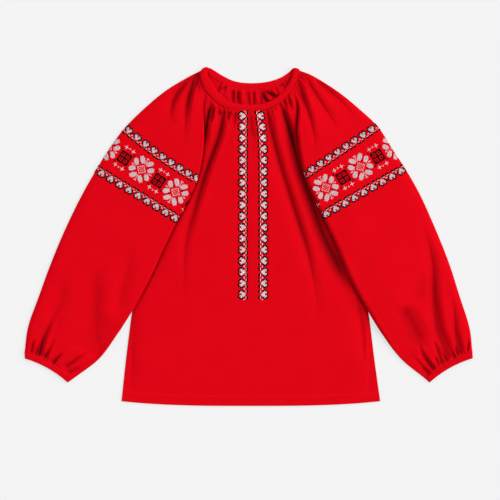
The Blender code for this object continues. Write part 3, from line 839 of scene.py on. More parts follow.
@dataclass
class BodyPlan:
    """The body's sides: raglan seams above the underarms, side seams down to the hem."""

    left: SleevePlan = field(default_factory=lambda: LEFT_PLAN)
    right: SleevePlan = field(default_factory=lambda: RIGHT_PLAN)
    #    y, left x, right x
    side_sections: tuple[tuple[float, float, float], ...] = (
        (-65.5, -178.5, 183.0),
        (-133.0, -188.0, 193.5),
        (-197.0, -196.0, 201.5),
        (-262.5, -203.0, 210.5),
    )
    hem_drop: float = 7.5
    raglan_share: float = 0.45
    bend_at_underarm: float = 0.5

    def side_line(self, sleeve: SleevePlan) -> np.ndarray:
        """Lists the side seam's points on one side, from the underarm to the hem.

        Args:
            sleeve: the sleeve on that side.

        Returns:
            One x, y for each station.
        """
        column = 1 if sleeve.side is Side.LEFT else 2
        underarm = sleeve.top(np.array([sleeve.seam_share(UNDERARM)]), UNDERARM)[0]
        return np.array([tuple(underarm), *((row[column], row[0]) for row in self.side_sections)])

    def side(self, sleeve: SleevePlan, share: np.ndarray | float) -> np.ndarray:
        """Gives the side seam's point at a share of the way from the underarm to the hem."""
        return catmull_rom(self.side_line(sleeve), np.asarray(share) * len(self.side_sections))

    def side_x(self, sleeve: SleevePlan, y: np.ndarray | float) -> np.ndarray:
        """Gives the side seam's x at heights y below the underarm."""
        line = self.side(sleeve, np.linspace(0, 1, 60))
        return np.interp(-np.asarray(y), -line[:, 1], line[:, 0])

    def panel(self, neck: tuple[float, float], edge: Callable[[SleevePlan, float], np.ndarray],
              u: np.ndarray, w: np.ndarray) -> np.ndarray:
        """Gives a panel's plan, row by row from the neck to the hem.

        Args:
            neck: the neck seam's ends, counted round the binding.
            edge: gives the panel's edge on a sleeve's raglan seam at a station.
            u: shares of the way across.
            w: shares of the way down.

        Returns:
            Plan points, one row for each w and one column for each u.
        """
        seam = NECK.seam(lerp(neck[0], neck[1], u))
        across = u[:, None]
        bend = seam - lerp(seam[0], seam[-1], across)
        rows = []
        for share in w:
            if share <= self.raglan_share:
                v = UNDERARM * share / self.raglan_share
                ends = edge(self.left, v), edge(self.right, v)
                keep = lerp(1.0, self.bend_at_underarm, v / UNDERARM)
                rows.append(lerp(*ends, across) + bend * keep)
                continue
            down = (share - self.raglan_share) / (1 - self.raglan_share)
            ends = self.side(self.left, down), self.side(self.right, down)
            sag = np.array([0.0, -self.hem_drop]) * down * (1 - np.abs(2 * across - 1) ** 3)
            rows.append(lerp(*ends, across) + sag + bend * lerp(self.bend_at_underarm, 0.0, down))
        return np.array(rows)


BODY_PLAN = BodyPlan()


# ---- The cloth pieces --------------------------------------------


class ClothPiece:
    """A piece of cloth that takes the place of one of the blouse's nodes."""

    node = ""
    slot = "red_knit"
    held = "laid"
    rests_on: tuple[str, ...] = ("front_panel_cloth",)
    cut: Cut
    grid: ClothGrid
    obj: bpy.types.Object

    def dress(self, finish: bpy.types.Material, on_it: Iterable[bpy.types.Object] = ()) -> None:
        """Args:
            finish: the cloth's material.
            on_it: the stitches that lie on it.
        """
        dress(self.obj, finish)
        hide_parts(self.node)
        self.cut.declare(self.obj, self.held, self.rests_on, on_it)


class SleevePiece(ClothPiece):
    """A piece of one of the two sleeves."""

    stem = ""
    held = "gathered"
    plan: SleevePlan

    @property
    def name(self) -> str:
        """Names the piece's side."""
        return self.plan.side.name.lower()

    @property
    def node(self) -> str:
        """Names the piece's node."""
        return f"{self.stem}_{self.name}"


@dataclass
class FrontPanel(ClothPiece):
    """The front: gathered into the binding, in long soft folds beside the sleeves, with a turned hem."""

    node = "front_panel"
    rests_on = ("back_panel_cloth",)
    columns: int = 240
    rows: int = 180
    row_ease: float = 0.6
    cut: Cut = Cut(0.414, 0.530, 0.171)
    loft: float = 10.0
    low_loft: float = 0.35  # the share of the loft that is left towards the hem
    loft_falls: tuple[float, float] = (140.0, 420.0)  # between these distances from the neck
    neck_rise: float = 0.9
    neck_reach: float = 24.0
    neck_share: float = 0.6  # the least share of its height that the cloth keeps beside the neck
    hem_depth: float = 16.0
    hem_rise: float = 0.5
    hem_step: float = 0.8
    pressed: float = 0.12  # the share of its height that the cloth keeps at the binding and at the hem
    left_edge: float = 3.4
    free_edge: float = 9.0
    right_edge: float = 4.5
    underarm_y: tuple[float, float] = (-90.0, -130.0)
    middle: tuple[float, float] = (0.07, 0.14)  # shares of the width over which the gathers set in
    middle_gathers: float = 0.15
    middle_seam: tuple[float, float] = (0.10, 0.24)
    swell: float = 0.35
    swell_size: float = 46.0
    gathers: Gathers = Gathers(count=22, height=3.6, reach=10, turn=0.7, fine_share=0.5)
    folds: tuple[Fold, ...] = (
        Fold(((-59, 208), (-63, 192), (-66.5, 172), (-68, 160), (-70, 140)), 3.4, 9.0, fade_out=0.3,
             closed=1.0),
        Fold(((-54, 205), (-57, 192), (-60, 176)), 2.4, 6.0, closed=0.6),
        Fold(((-37, 200), (-39, 192), (-44, 163), (-56, 130), (-70, 91), (-82, 51), (-94, 11), (-100,
             -21), (-102, -69), (-105, -125)), 3.8, 9.4, fade_out=0.7, closed=0.75),
        Fold(((31, 205), (37, 174), (50, 123), (65, 75), (76, 40), (88, 3), (95, -21), (100, -45), (105,
             -69), (111, -110), (113, -165)), 4.6, 8.2, fade_out=0.6, closed=0.42),
        Fold(((65, 180), (70, 163), (79, 123), (95, 75), (112, 27), (121, 3), (133, -21), (145, -45),
             (157, -69), (180, -101)), 7.6, 13.0, fade_in=0.2, fade_out=0.25, lead=0.1, closed=0.85),
        Fold(((56, 206), (60, 193), (65, 178), (70, 163), (79, 128)), 2.8, 9.0, fade_out=0.3,
             closed=0.9),
        Fold(((-29, 199), (-31, 192), (-33, 180)), 2.0, 5.6),
        Fold(((-20, 197), (-21, 188), (-24, 168)), 2.6, 3.4),
        Fold(((5, 192), (8, 168), (13, 147)), 4.0, 2.1),
        Fold(((-45, 203), (-46, 190)), 1.8, 4.4),
        Fold(((51, 214), (54, 204)), 1.6, 3.6),
        Fold(((56, 222), (60, 212), (62, 200)), 1.9, 5.2),
        Fold(((62, 228), (67, 216), (71, 198)), 2.0, 6.0),
        Fold(((172, -92), (180, -125), (185, -165), (188, -220)), 4.4, 3.6, fade_in=0.3, fade_out=0.3,
             closed=0.08),
    )
    grid: ClothGrid = field(init=False)
    obj: bpy.types.Object = field(init=False)

    def uncovered(self, x: np.ndarray, y: np.ndarray) -> np.ndarray:
        """Gives 1 where the panel lies open, easing to 0 under a sleeve and at a side seam.

        Args:
            x: across the blouse.
            y: along the blouse.

        Returns:
            A share for each point.
        """
        plan = BODY_PLAN
        left = np.maximum(plan.left.inner_fold_x(y), plan.side_x(plan.left, y))
        right = np.minimum(plan.right.inner_fold_x(y), plan.side_x(plan.right, y))
        from_left, from_right = np.maximum(x - left + 0.4, 0), np.maximum(right - x + 0.4, 0)
        left_edge = lerp(self.left_edge, self.free_edge, smoothstep(*self.underarm_y, y))
        return (1 - np.exp(-from_left / left_edge)) * (1 - np.exp(-from_right / self.right_edge))

    def build(self) -> None:
        """Makes the panel."""
        u = np.linspace(0, 1, self.columns + 1)
        w = close_at_ends(self.rows + 1, self.row_ease)
        neck = tuple(float(lerp(*p.neck_span[:2], p.rows[0, 4])) for p in (LEFT_PLAN, RIGHT_PLAN))
        plan = BODY_PLAN.panel(neck, lambda s, v: s.top(np.array([s.seam_share(v)]), v)[0], u, w)
        x, y = plan[..., 0], plan[..., 1]
        away = distance_from(plan, 0) - NECK_TUCK
        across, off_middle = np.broadcast_to(u, x.shape), np.abs(u - 0.5)
        gathered = lerp(self.middle_gathers, 1.0, smoothstep(*self.middle, off_middle))
        near_neck = np.exp(-((away / self.neck_reach) ** 2))
        loft = self.loft * lerp(1.0, self.low_loft, smoothstep(*self.loft_falls, away))
        height = lerp(loft, BINDING_HIGH - FRONT_TOP + self.neck_rise, near_neck)
        height = height + self.gathers.profile(across, away) * gathered
        for fold in self.folds:
            height = height + fold.height(x, y)
        height = height + self.swell * rolling(x, y, self.swell_size, 0.4)
        lifted = np.maximum(self.uncovered(x, y), self.neck_share * near_neck)
        from_hem = y - y[-1]
        flat_hem = smoothstep(0.0, 5 * self.hem_depth, from_hem)
        z = FRONT_TOP + settled(height) * lifted * lerp(self.pressed, 1.0, flat_hem)
        seam = BINDING_HIGH - SEAM_DROP * lerp(-0.6, 1.0, smoothstep(*self.middle_seam, off_middle))
        z = seam + (z - seam) * lerp(self.pressed, 1.0, smoothstep(-1.0, 7.0, away))
        hem_edge = smoothstep(self.hem_depth + self.hem_step, self.hem_depth - self.hem_step, from_hem)
        z = z + self.hem_rise * hem_edge
        # Painted shade between the gathers and in the folds' creases.
        closed = self.gathers.shade(across, away) * gathered
        closed = closed + sum(fold.shade(x, y) for fold in self.folds)
        self.grid = ClothGrid(np.dstack([plan, z]), outward=-1, closed=closed)
        self.obj = self.grid.build(f"{self.node}_cloth", CLOTH)


@dataclass
class BackPanel(ClothPiece):
    """The back: flat on the table, its gathers showing inside the neck."""

    node = "back_panel"
    rests_on = ()
    columns: int = 200
    rows: int = 90
    cut: Cut = Cut(0.414, 0.534, 0.167)
    base: float = 5.0
    first_rows: float = 0.12  # how far apart the rows lie at the neck, in shares of even rows
    shown: tuple[float, float] = (34.0, 14.0)  # the distances from the neck between which the pleats end
    sides: float = 0.05
    pressed: float = 0.35
    gathers: Gathers = Gathers(count=9, height=3.2, reach=26, turn=2.1, fine=3.3, fine_share=0.4)
    creases: tuple[Fold, ...] = (
        Fold(((-34, 241), (-42, 237), (-52, 232)), 2.2, 4.0),
        Fold(((-50, 252), (-56, 244)), 2.0, 4.0, closed=0.5),
        Fold(((-24, 234), (-24, 224), (-23, 210)), 2.0, 6.2, fade_out=0.2, closed=0.5),
        Fold(((-15, 232), (-15, 221), (-13, 208)), 2.0, 6.6, fade_out=0.2, closed=0.5),
        Fold(((1, 232), (2, 208)), 1.7, 3.2, fade_out=0.2),
        Fold(((9, 232), (10, 208)), 1.7, 4.6, fade_out=0.2),
        Fold(((22, 233), (22, 222), (21, 209)), 1.7, 3.2, fade_out=0.2),
        Fold(((22, 236), (33, 230), (44, 225), (56, 221)), 2.0, 6.0, fade_in=0.3, fade_out=0.1,
             closed=0.9),
        Fold(((24, 230), (29, 219), (38, 212)), 2.2, 6.0, fade_in=0.2, fade_out=0.1, closed=1.0),
        Fold(((71, 260), (60, 248), (48, 238)), 3.6, 4.0, fade_in=0.1, fade_out=0.3, closed=0.7),
    )
    grid: ClothGrid = field(init=False)
    obj: bpy.types.Object = field(init=False)

    def build(self) -> None:
        """Makes the panel."""
        u = np.linspace(0, 1, self.columns + 1)
        s = np.linspace(0, 1, self.rows + 1)
        w = lerp(s**3, s, self.first_rows)
        neck = (LEFT_PLAN.neck_span[2] + len(NECK.sections), RIGHT_PLAN.neck_span[2])
        plan = BODY_PLAN.panel(neck, lambda p, v: p.bottom(np.array([1.0]), v, p.seam_share(v))[0], u, w)
        away = distance_from(plan, 0) - NECK_TUCK
        across, shown = np.broadcast_to(u, away.shape), smoothstep(*self.shown, away)
        pleats = self.gathers.profile(across, away)
        sides = inside(u, self.sides, 1 - self.sides)
        for crease in self.creases:
            pleats = pleats + crease.height(plan[..., 0], plan[..., 1])
        z = BACK_TOP + settled(pleats + self.base) * shown * sides
        z = BINDING_LOW + (z - BINDING_LOW) * lerp(self.pressed, 1.0, smoothstep(-1.0, 6.0, away))
        # Painted shade between the gathers and in the creases.
        closed = self.gathers.shade(across, away) * shown
        closed = closed + sum(crease.shade(plan[..., 0], plan[..., 1]) for crease in self.creases)
        self.grid = ClothGrid(np.dstack([plan, z]), outward=-1, closed=closed)
        self.obj = self.grid.build(f"{self.node}_cloth", CLOTH)


@dataclass
class Sleeve(SleevePiece):
    """A sleeve: a flattened tube, full in the middle and gathered at the neck and the wrist."""

    stem = "sleeve"
    plan: SleevePlan
    folds: tuple[Fold, ...]
    head: Gathers
    wrist: Gathers
    turn: float
    cut: Cut
    rows: int = 190
    row_ease: float = 0.7
    top_columns: int = 120
    under_columns: int = 5
    arc_columns: int = 11
    bottom_columns: int = 40
    off_body: tuple[float, float] = (10.0, 9.4)  # the stations between which it comes off the body
    roll: float = 4.5  # the radius of its inner fold, between these stations
    roll_opens: tuple[float, float] = (0.2, 1.6)
    roll_closes: tuple[float, float] = (11.4, 9.0)
    loft: float = 4.2
    head_loft: float = 0.45  # the share of the loft at the neck
    full_from: float = 2.5  # the station from which the sleeve has its whole loft
    edge_share: float = 0.10
    inner_ease: float = 0.3
    pleated: tuple[float, float] = (0.08, 0.92)  # shares of the width that have their whole pleats
    folded: tuple[float, float] = (0.04, 0.95)  # and their whole folds
    lip: float = 0.8  # the least gap between the two layers
    under_body: tuple[float, float] = (0.2, 0.4)  # shares of the width over which the lower layer comes down
    swell: float = 0.5
    swell_size: float = 38.0
    pressed: float = 0.3  # the share of its height that the cloth keeps at a seam
    wrist_heights: tuple[float, float] = (0.8, 3.7)  # of the two layers in the casing, over the table
    clearance: float = 1.6  # between the sleeve's seam and the body's side
    least_turn: float = 5.0
    grid: ClothGrid = field(init=False)
    obj: bpy.types.Object = field(init=False)

    def seam_share(self, v: float) -> float:
        """Gives where the bottom layer ends at v: on the raglan seam, then beside the body's side seam.

        Args:
            v: the section, counted from the neck.

        Returns:
            A share of the section from the inner fold.
        """
        share = self.plan.seam_share(v)
        if v <= UNDERARM:
            return share
        inner, outer, _ = self.plan.ends(v)
        for _ in range(6):
            y = lerp(inner[1], outer[1], share)
            share = float((BODY_PLAN.side_x(self.plan, y) - inner[0]) / (outer[0] - inner[0]))
        return max(share + self.clearance / self.plan.length(v), self.least_turn / self.plan.length(v))

    def top_height(self, plan: np.ndarray, share: np.ndarray, v: np.ndarray, low: np.ndarray,
                   roll: np.ndarray) -> np.ndarray:
        """Gives the height of the sleeve's upper surface, which falls from the inner fold to the outer one.

        Args:
            plan: plan points, row by row.
            share: each column's share of the way across.
            v: each row's station.
            low: each row's height of the under layer at the inner fold.
            roll: each row's radius of the inner fold.

        Returns:
            One height for each point.
        """
        x, y = plan[..., 0], plan[..., 1]
        v, low, roll = (a[:, None] for a in (v, low, roll))
        fall = lerp(low + 2 * roll, TABLE_CLEARANCE + 2 * FOLD_RADIUS, share)
        full = np.sqrt(1 - smoothstep(0.0, 1.0, share / self.edge_share - 1 / self.edge_share + 1) ** 2)
        full = full * smoothstep(0.0, self.inner_ease, share)
        loft = self.loft * lerp(self.head_loft, 1.0, smoothstep(0.0, self.full_from, v)) * full
        from_neck, from_wrist = distance_from(plan, 0) - NECK_TUCK, distance_from(plan, -1)
        across = np.broadcast_to(share, x.shape)
        pleats = self.head.profile(across, from_neck) + self.wrist.profile(across, from_wrist)
        loft = loft + pleats * inside(share, *self.pleated)
        change = self.swell * rolling(x, y, self.swell_size, self.turn)
        for fold in self.folds:
            change = change + fold.height(x, y)
        change = change * inside(share, *self.folded)
        lowest = lerp(low + self.lip, TABLE_CLEARANCE + self.lip, smoothstep(*self.under_body, share))
        return lowest + settled(fall + loft + change - lowest)

    def shade(self, points: np.ndarray) -> np.ndarray:
        """Gives the painted shade in the creases at each point of the upper layer, by how far the cloth
        closes on itself, and 0 elsewhere.

        Args:
            points: the sleeve's points, row by row.

        Returns:
            A share for each point.
        """
        first = self.under_columns + self.arc_columns
        top = slice(first, first + self.top_columns - 1)
        plan = points[:, top, :2]
        across = np.broadcast_to(np.linspace(0, 1, self.top_columns + 1)[1:-1], plan.shape[:2])
        shade = self.head.shade(across, distance_from(plan, 0) - NECK_TUCK)
        shade = shade + self.wrist.shade(across, distance_from(plan, -1))
        shade = shade + sum(fold.shade(plan[..., 0], plan[..., 1]) for fold in self.folds)
        closed = np.zeros(points.shape[:2])
        closed[:, top] = shade * inside(across, *self.folded)
        return closed

    def surface(self) -> np.ndarray:
        """Gives the points round the sleeve, row by row, from the raglan seam round to it again."""
        stations = LAST_STATION * close_at_ends(self.rows + 1, self.row_ease)
        seams = np.array([self.seam_share(v) for v in stations])
        lengths = np.array([self.plan.length(v) for v in stations])
        lifted = smoothstep(*self.off_body, stations)
        low = lerp(TABLE_CLEARANCE, TURN_LOW, lifted)
        opened = smoothstep(*self.roll_opens, stations) * smoothstep(*self.roll_closes, stations)
        roll = lerp(FOLD_RADIUS, self.roll, opened)
        turns, inner_turns = FOLD_RADIUS / lengths, roll / lengths
        angles = np.radians(np.linspace(-90, 90, self.arc_columns))
        across = np.linspace(0, 1, self.top_columns + 1)[1:-1]
        parts: list[list[np.ndarray]] = [[], [], [], [], []]
        for v, seam, turn, inner_turn in zip(stations, seams, turns, inner_turns):
            under = np.linspace(seam, inner_turn, self.under_columns + 1)[:-1]
            parts[0].append(self.plan.top(under, v))
            parts[1].append(self.plan.top(inner_turn * (1 - np.cos(angles)), v))
            parts[2].append(self.plan.top(lerp(inner_turn, 1 - turn, across), v))
            rounded = turn * (1 - np.cos(angles[::-1]))
            upper = self.plan.top(1 - rounded, v)
            lower = self.plan.bottom(rounded, v, seam)
            parts[3].append(np.where((angles[::-1] >= 0)[:, None], upper, lower))
            bottom = lerp(turn, 1, (np.arange(self.bottom_columns) + 1) / self.bottom_columns)
            parts[4].append(self.plan.bottom(bottom, v, seam))
        plans = [np.array(part) for part in parts]
        rise = FOLD_RADIUS * (1 + np.sin(angles))
        shape = plans[0].shape[:2]
        heights = [
            np.broadcast_to(low[:, None], shape),
            low[:, None] + roll[:, None] * (1 + np.sin(angles)),
            self.top_height(plans[2], across, stations, low, roll),
            np.broadcast_to(TABLE_CLEARANCE + rise[::-1], plans[3].shape[:2]),
            np.full(plans[4].shape[:2], TABLE_CLEARANCE),
        ]
        layers = [1.0, np.ones(len(angles)), 1.0, (1 + np.sin(angles[::-1])) / 2, 0.0]
        distance, to_wrist = (distance_from(plans[2], row).mean(axis=1)[:, None] for row in (0, -1))
        blocks = []
        for plan, height, layer in zip(plans, heights, layers):
            at_neck = lerp(BINDING_LOW, BINDING_HIGH - SEAM_DROP, layer)
            at_wrist = lerp(*(TABLE_CLEARANCE + rise for rise in self.wrist_heights), layer)
            z = at_neck + (height - at_neck) * lerp(self.pressed, 1.0, smoothstep(0.0, 9.0, distance))
            z = at_wrist + (z - at_wrist) * lerp(self.pressed, 1.0, smoothstep(0.0, 7.0, to_wrist))
            blocks.append(np.dstack([plan, z]))
        points = np.concatenate(blocks, axis=1)
        closed = stations >= UNDERARM
        points[closed, -1] = points[closed, 0]
        return points

    def build(self) -> None:
        """Makes the sleeve."""
        points = self.surface()
        # The sleeve's painted shade in its creases goes to the mesh with it.
        self.grid = ClothGrid(points, outward=-self.plan.side.value, closed=self.shade(points))
        self.obj = self.grid.build(f"{self.node}_cloth", CLOTH)


@dataclass
class NeckBinding(ClothPiece):
    """The binding: a folded strip round the neck, stitched down along its seam edge."""

    node = "neck_binding"
    slot = "red_binding"
    held = "folded"
    cut: Cut = Cut(0.375, 0.0227)
    wall: float = 0.5
    thickness: float = 3.4
    steps: int = 8
    fold_steps: int = 12
    section_points: int = 20
    stitched_at: float = 0.19  # the share of the way from the seam edge to the free edge
    stitch_pitch: float = 2.2
    stitch_groove: float = 0.3
    groove_at: float = -0.62
    groove_width: float = 0.12
    flat_power: float = 0.85
    round_power: float = 0.8
    fold_reach: float = 0.25
    fold_narrowing: float = 0.2
    grid: ClothGrid = field(init=False)
    obj: bpy.types.Object = field(init=False)

    def section(self, position: float, angle: float) -> np.ndarray:
        """Gives the points round one section.

        Args:
            position: where it is, counted round the neck.
            angle: 90 on the front, -90 on the back, and between them at a shoulder fold.

        Returns:
            The section's points, the first repeated at the end.
        """
        free, seam = NECK.edges(position)
        across = free - seam
        half = np.linalg.norm(across) / 2
        across = across / (2 * half)
        outward = np.array([-across[1], across[0]])
        if outward[1] < 0:
            outward = -outward
        lean, rise = math.cos(math.radians(angle)), math.sin(math.radians(angle))
        radius, middle = (BINDING_HIGH - BINDING_LOW) / 2, (BINDING_HIGH + BINDING_LOW) / 2
        half = half * (1 - self.fold_narrowing * lean**2)
        centre = (free + seam) / 2 + outward * radius * lean * self.fold_reach
        t = np.linspace(0, 2 * math.pi, self.section_points + 1)
        wide = np.sign(np.cos(t)) * np.abs(np.cos(t)) ** self.flat_power
        thick = np.sign(np.sin(t)) * np.abs(np.sin(t)) ** self.round_power
        groove = self.stitch_groove * np.exp(-(((wide - self.groove_at) / self.groove_width) ** 2))
        thick = thick * (self.thickness / 2 - groove)
        flat = centre + across * (wide * half)[:, None] + outward * (thick * lean)[:, None]
        return np.column_stack([flat, middle + radius * rise + thick * rise])

    def build(self) -> None:
        """Makes the binding."""
        count, right = len(NECK.sections), NECK.right_shoulder
        turning = np.linspace(-90, 90, self.fold_steps + 1)
        rows = [self.section(0, angle) for angle in turning]
        rows += [self.section(k / self.steps, 90) for k in range(1, right * self.steps)]
        rows += [self.section(right, angle) for angle in turning[::-1]]
        rows += [self.section(k / self.steps, -90) for k in range(right * self.steps + 1, count * self.steps)]
        rows.append(rows[0])
        self.grid = ClothGrid(np.array(rows))
        self.obj = self.grid.build(f"{self.node}_cloth", self.wall)

    def topstitching(self, name: str, start: float, end: float, points: int) -> "Topstitching":
        """Plans the line of stitches along the seam edge.

        Args:
            name: the line's name.
            start: where it starts, counted round the neck.
            end: where it ends.
            points: how many points the line has.

        Returns:
            The line, not yet built.
        """
        free, seam = NECK.edges(np.linspace(start, end, points))
        return Topstitching(name, lerp(seam, free, self.stitched_at), self.grid, pitch=self.stitch_pitch)


@dataclass
class WristCasing(SleevePiece):
    """A wrist casing: cloth doubled over elastic, which draws it into fine ribs."""

    stem = "cuff"
    slot = "red_binding"
    plan: SleevePlan
    cut: Cut = Cut(0.200, 0.011)
    ribs: int = 27
    rib_height: float = 0.5
    bulge: float = 0.35
    bow: float = 4.5
    wall: float = 1.9
    height: float = 4.5
    overlap: float = 1.2
    top_columns: int = 216
    arc_columns: int = 9
    rows: int = 9
    grid: ClothGrid = field(init=False)
    obj: bpy.types.Object = field(init=False)

    @property
    def rests_on(self) -> tuple[str, ...]:
        """Names the sleeve that the casing is sewn to."""
        return (f"sleeve_{self.name}_cloth",)

    def section(self, down: float, inset: float) -> np.ndarray:
        """Gives the points round one section.

        Args:
            down: share of the way from the seam to the free edge.
            inset: how far inside the casing's outer surface it is.

        Returns:
            The section's points, the first repeated at the end.
        """
        inner, outer, bow = self.plan.ends(LAST_STATION)
        edge = np.array(self.plan.casing_edge)
        start = -self.overlap / np.linalg.norm(edge[:2] - inner)
        share_down = lerp(start, 1.0, down)
        inner, outer = lerp(inner, edge[:2], share_down), lerp(outer, edge[2:], share_down)
        rise = self.plan.up_sleeve(inner, outer) * lerp(bow, self.bow, share_down)
        length = np.linalg.norm(outer - inner)
        radius = self.height / 2
        turn, reach = radius / length, (radius - inset) / length
        angles = np.radians(np.linspace(-90, 90, self.arc_columns))
        across = np.linspace(0, 1, self.top_columns + 1)[1:-1]
        rounded = (1 - abs(2 * down - 1) ** 4) * self.bulge
        uneven = math.pi * self.ribs * across + 1.1 * np.sin(9 * across)
        ribs = self.rib_height * (np.abs(np.sin(uneven)) - 0.5) * (1 if inset == 0 else 0)
        shares = np.concatenate([
            turn - reach * np.cos(angles),
            lerp(turn, 1 - turn, across),
            1 - turn + reach * np.cos(angles),
            lerp(1 - turn, turn, across[::3]),
        ])
        heights = np.concatenate([
            radius + (radius - inset) * np.sin(angles),
            self.height - inset + ribs + rounded,
            radius + (radius - inset) * np.sin(angles[::-1]),
            np.full(len(across[::3]), inset),
        ])
        flat = lerp(inner, outer, shares[:, None]) + rise * (4 * shares * (1 - shares))[:, None]
        points = np.column_stack([flat, TABLE_CLEARANCE / 2 + heights])
        return np.vstack([points, points[:1]])

    def build(self) -> None:
        """Makes the casing, down its outside and up its inside."""
        downs = np.linspace(0, 1, self.rows)
        rows = [self.section(down, 0.0) for down in downs]
        rows += [self.section(down, self.wall) for down in downs[::-1]]
        rows.append(rows[0])
        self.grid = ClothGrid(np.array(rows), outward=-self.plan.side.value)
        self.obj = mesh_object(f"{self.node}_cloth", self.grid.points.reshape(-1, 3), self.grid.faces(),
                               self.grid.cloth_uv())
        self.obj.modifiers.new("seam_weld", "WELD").merge_threshold = WELD_REACH


# ---- Sewing and embroidery ---------------------------------------


@dataclass(frozen=True)
class Stitch:
    """One cross stitch to be placed: its middle on the cloth, and its cell's two sides."""

    middle: tuple[float, float]
    along: tuple[float, float]
    across: tuple[float, float]
    thread: Thread


@dataclass(frozen=True)
class BandFrame:
    """A straight band's frame in plan: an origin, and the directions along and across it."""

    origin: tuple[float, float]
    degrees: float
    pitch: float
    rise: float
    drawn_in: float = 0.0
    drawn_over: float = 24.0
    sag: float = 0.0
    sag_over: float = 1.0

    def stitch(self, column: float, row: float, thread: Thread) -> Stitch:
        """Places one stitch, counted in stitches from the origin.

        Args:
            column: its place along the band.
            row: its place across it.
            thread: its colour.

        Returns:
            The stitch, in plan.
        """
        turn = math.radians(self.degrees)
        ax, ay = math.cos(turn) * self.pitch, math.sin(turn) * self.pitch
        bx, by = -math.sin(turn) * self.rise, math.cos(turn) * self.rise
        x = self.origin[0] + ax * column + bx * row
        y = self.origin[1] + ay * column + by * row
        drawn = self.drawn_in * math.exp(-max(0.0, self.origin[1] - y) / self.drawn_over)
        lean = drawn / self.drawn_over
        share = min(max(column / self.sag_over, 0.0), 1.0)
        y -= self.sag * 4 * share * (1 - share)
        return Stitch((x + drawn, y), (ax + lean * ay, ay), (bx, by), thread)


HEART_CHART = (
    "...BB..BB...",
    "..BWW..WWB..",
    ".BWWWbbWWWB.",
    ".BWWWWWWWWB.",
    "..BWWWWWWB..",
    "W..bWWWWb..W",
    "....bWWb....",
    ".WWW.bb.WWW.",
    ".BBB....BBB.",
)

WINDOW_QUARTER = (
    "BBBBBBB",
    "B......",
    "B.....B",
    "B..B..B",
    "B.....B",
    "B....BB",
    "B.BBBBB",
)


def heart_border(band: BandFrame, hearts: Iterable[int], lobes: float) -> list[Stitch]:
    """Charts a border of hearts.

    Args:
        band: the border's frame, its origin in the middle of heart 0.
        hearts: the numbers of the hearts to make.
        lobes: 1 if the lobes are on the frame's upper side, and -1 if on its lower side.

    Returns:
        The border's stitches.
    """
    half_columns, half_rows = (len(HEART_CHART[0]) - 1) / 2, (len(HEART_CHART) - 1) / 2
    made = []
    for heart in hearts:
        for row, line in enumerate(HEART_CHART):
            for column, mark in enumerate(line):
                if mark != ".":
                    place = heart * len(line) + column - half_columns
                    made.append(band.stitch(place, lobes * (half_rows - row), Thread(mark)))
    return made


@dataclass(frozen=True)
class Petal:
    """One petal as a rounded block that lies along the diagonal of its quarter, sized in stitches."""

    along: float
    aside: float
    length: float
    width: float
    roundness: float = 2.8

    def covers(self, along: float, aside: float) -> bool:
        """Tells whether a place, counted along and aside from the diagonal, lies on the petal."""
        down = abs(2 * (along - self.along) / self.length) ** self.roundness
        return down + abs(2 * (aside - self.aside) / self.width) ** self.roundness <= 1


@dataclass(frozen=True)
class Flower:
    """A round flower of eight petals in four pairs, charted in stitches."""

    petals: tuple[Petal, ...] = (Petal(9.9, 3.6, 7.9, 4.8), Petal(9.6, -3.5, 7.3, 4.6))
    parting: float = 0.6
    parting_from: float = 6.4
    parting_to: float = 12.6
    diamond: int = 5

    def thread_at(self, column: int, row: int) -> Thread | None:
        """Gives the thread of the cell at a place counted from the flower's middle.

        Args:
            column: how far along the band the cell lies.
            row: how far across it.

        Returns:
            A thread, or None where the cloth shows.
        """
        a, b = abs(column), abs(row)
        s, t = column + row, column - row
        if max(abs(s), abs(t)) <= self.diamond:
            if max(abs(s), abs(t)) == self.diamond:
                return Thread.ROSE
            if s % 2 or (s + t) % 4:
                return None
            return Thread.WHITE if s % 4 else Thread.ROSE
        if column == 0 and 7 <= b <= 12:
            return Thread.ROSE
        if a <= 1 and 12 < b <= 13:
            return Thread.WHITE
        if row == 0 and 10 <= a <= 12:
            return Thread.WHITE
        along, aside = (a + b) / math.sqrt(2), (b - a) / math.sqrt(2)
        if abs(aside) < self.parting and self.parting_from < along < self.parting_to:
            return Thread.FINE_BLACK
        return Thread.WHITE if any(petal.covers(along, aside) for petal in self.petals) else None

    def stitches(self, band: BandFrame, middle: float) -> list[Stitch]:
        """Charts the flower with its middle at a place along the band.

        Args:
            band: the band's frame.
            middle: the flower's middle along it, in stitches.

        Returns:
            The flower's stitches.
        """
        made = []
        for row in range(-14, 15):
            for column in range(-14, 15):
                thread = self.thread_at(column, row)
                if thread is not None:
                    made.append(band.stitch(middle + column, row, thread))
        return made


def window(band: BandFrame, middle: float) -> list[Stitch]:
    """Charts the black four-paned window between two flowers, with the small crosses beside it.

    Args:
        band: the band's frame.
        middle: the window's middle along the band, in stitches.

    Returns:
        The window's stitches.
    """
    made = []
    size, cell = len(WINDOW_QUARTER), 0.94
    corner, cross_along, cross_aside = 7.8, 4.35, 11.0
    for row in range(1 - size, size):
        for column in range(1 - size, size):
            if WINDOW_QUARTER[abs(row)][abs(column)] == "B":
                made.append(band.stitch(middle + cell * column, cell * row, Thread.BLACK))
    for side in (-1, 1):
        for end in (-1, 1):
            made.append(band.stitch(middle + corner * end, corner * side, Thread.BLACK))
            x, y = middle + cross_along * end, cross_aside * side
            for k in range(-2, 3):
                thread = Thread.WHITE if abs(k) < 2 else Thread.ROSE
                made.append(band.stitch(x + cell * k, y, thread))
                if k:
                    made.append(band.stitch(x, y + cell * k, thread))
        made += [band.stitch(middle, row * side, Thread.WHITE) for row in (11, 12)]
    return made


# One bar of a stitch: its half widths in shares of its cell, and how far its edges sink into the cloth.
BAR_HALF_WIDTH = 0.34
BAR_END_HALF_WIDTH = 0.26
BAR_SUNK = 0.12


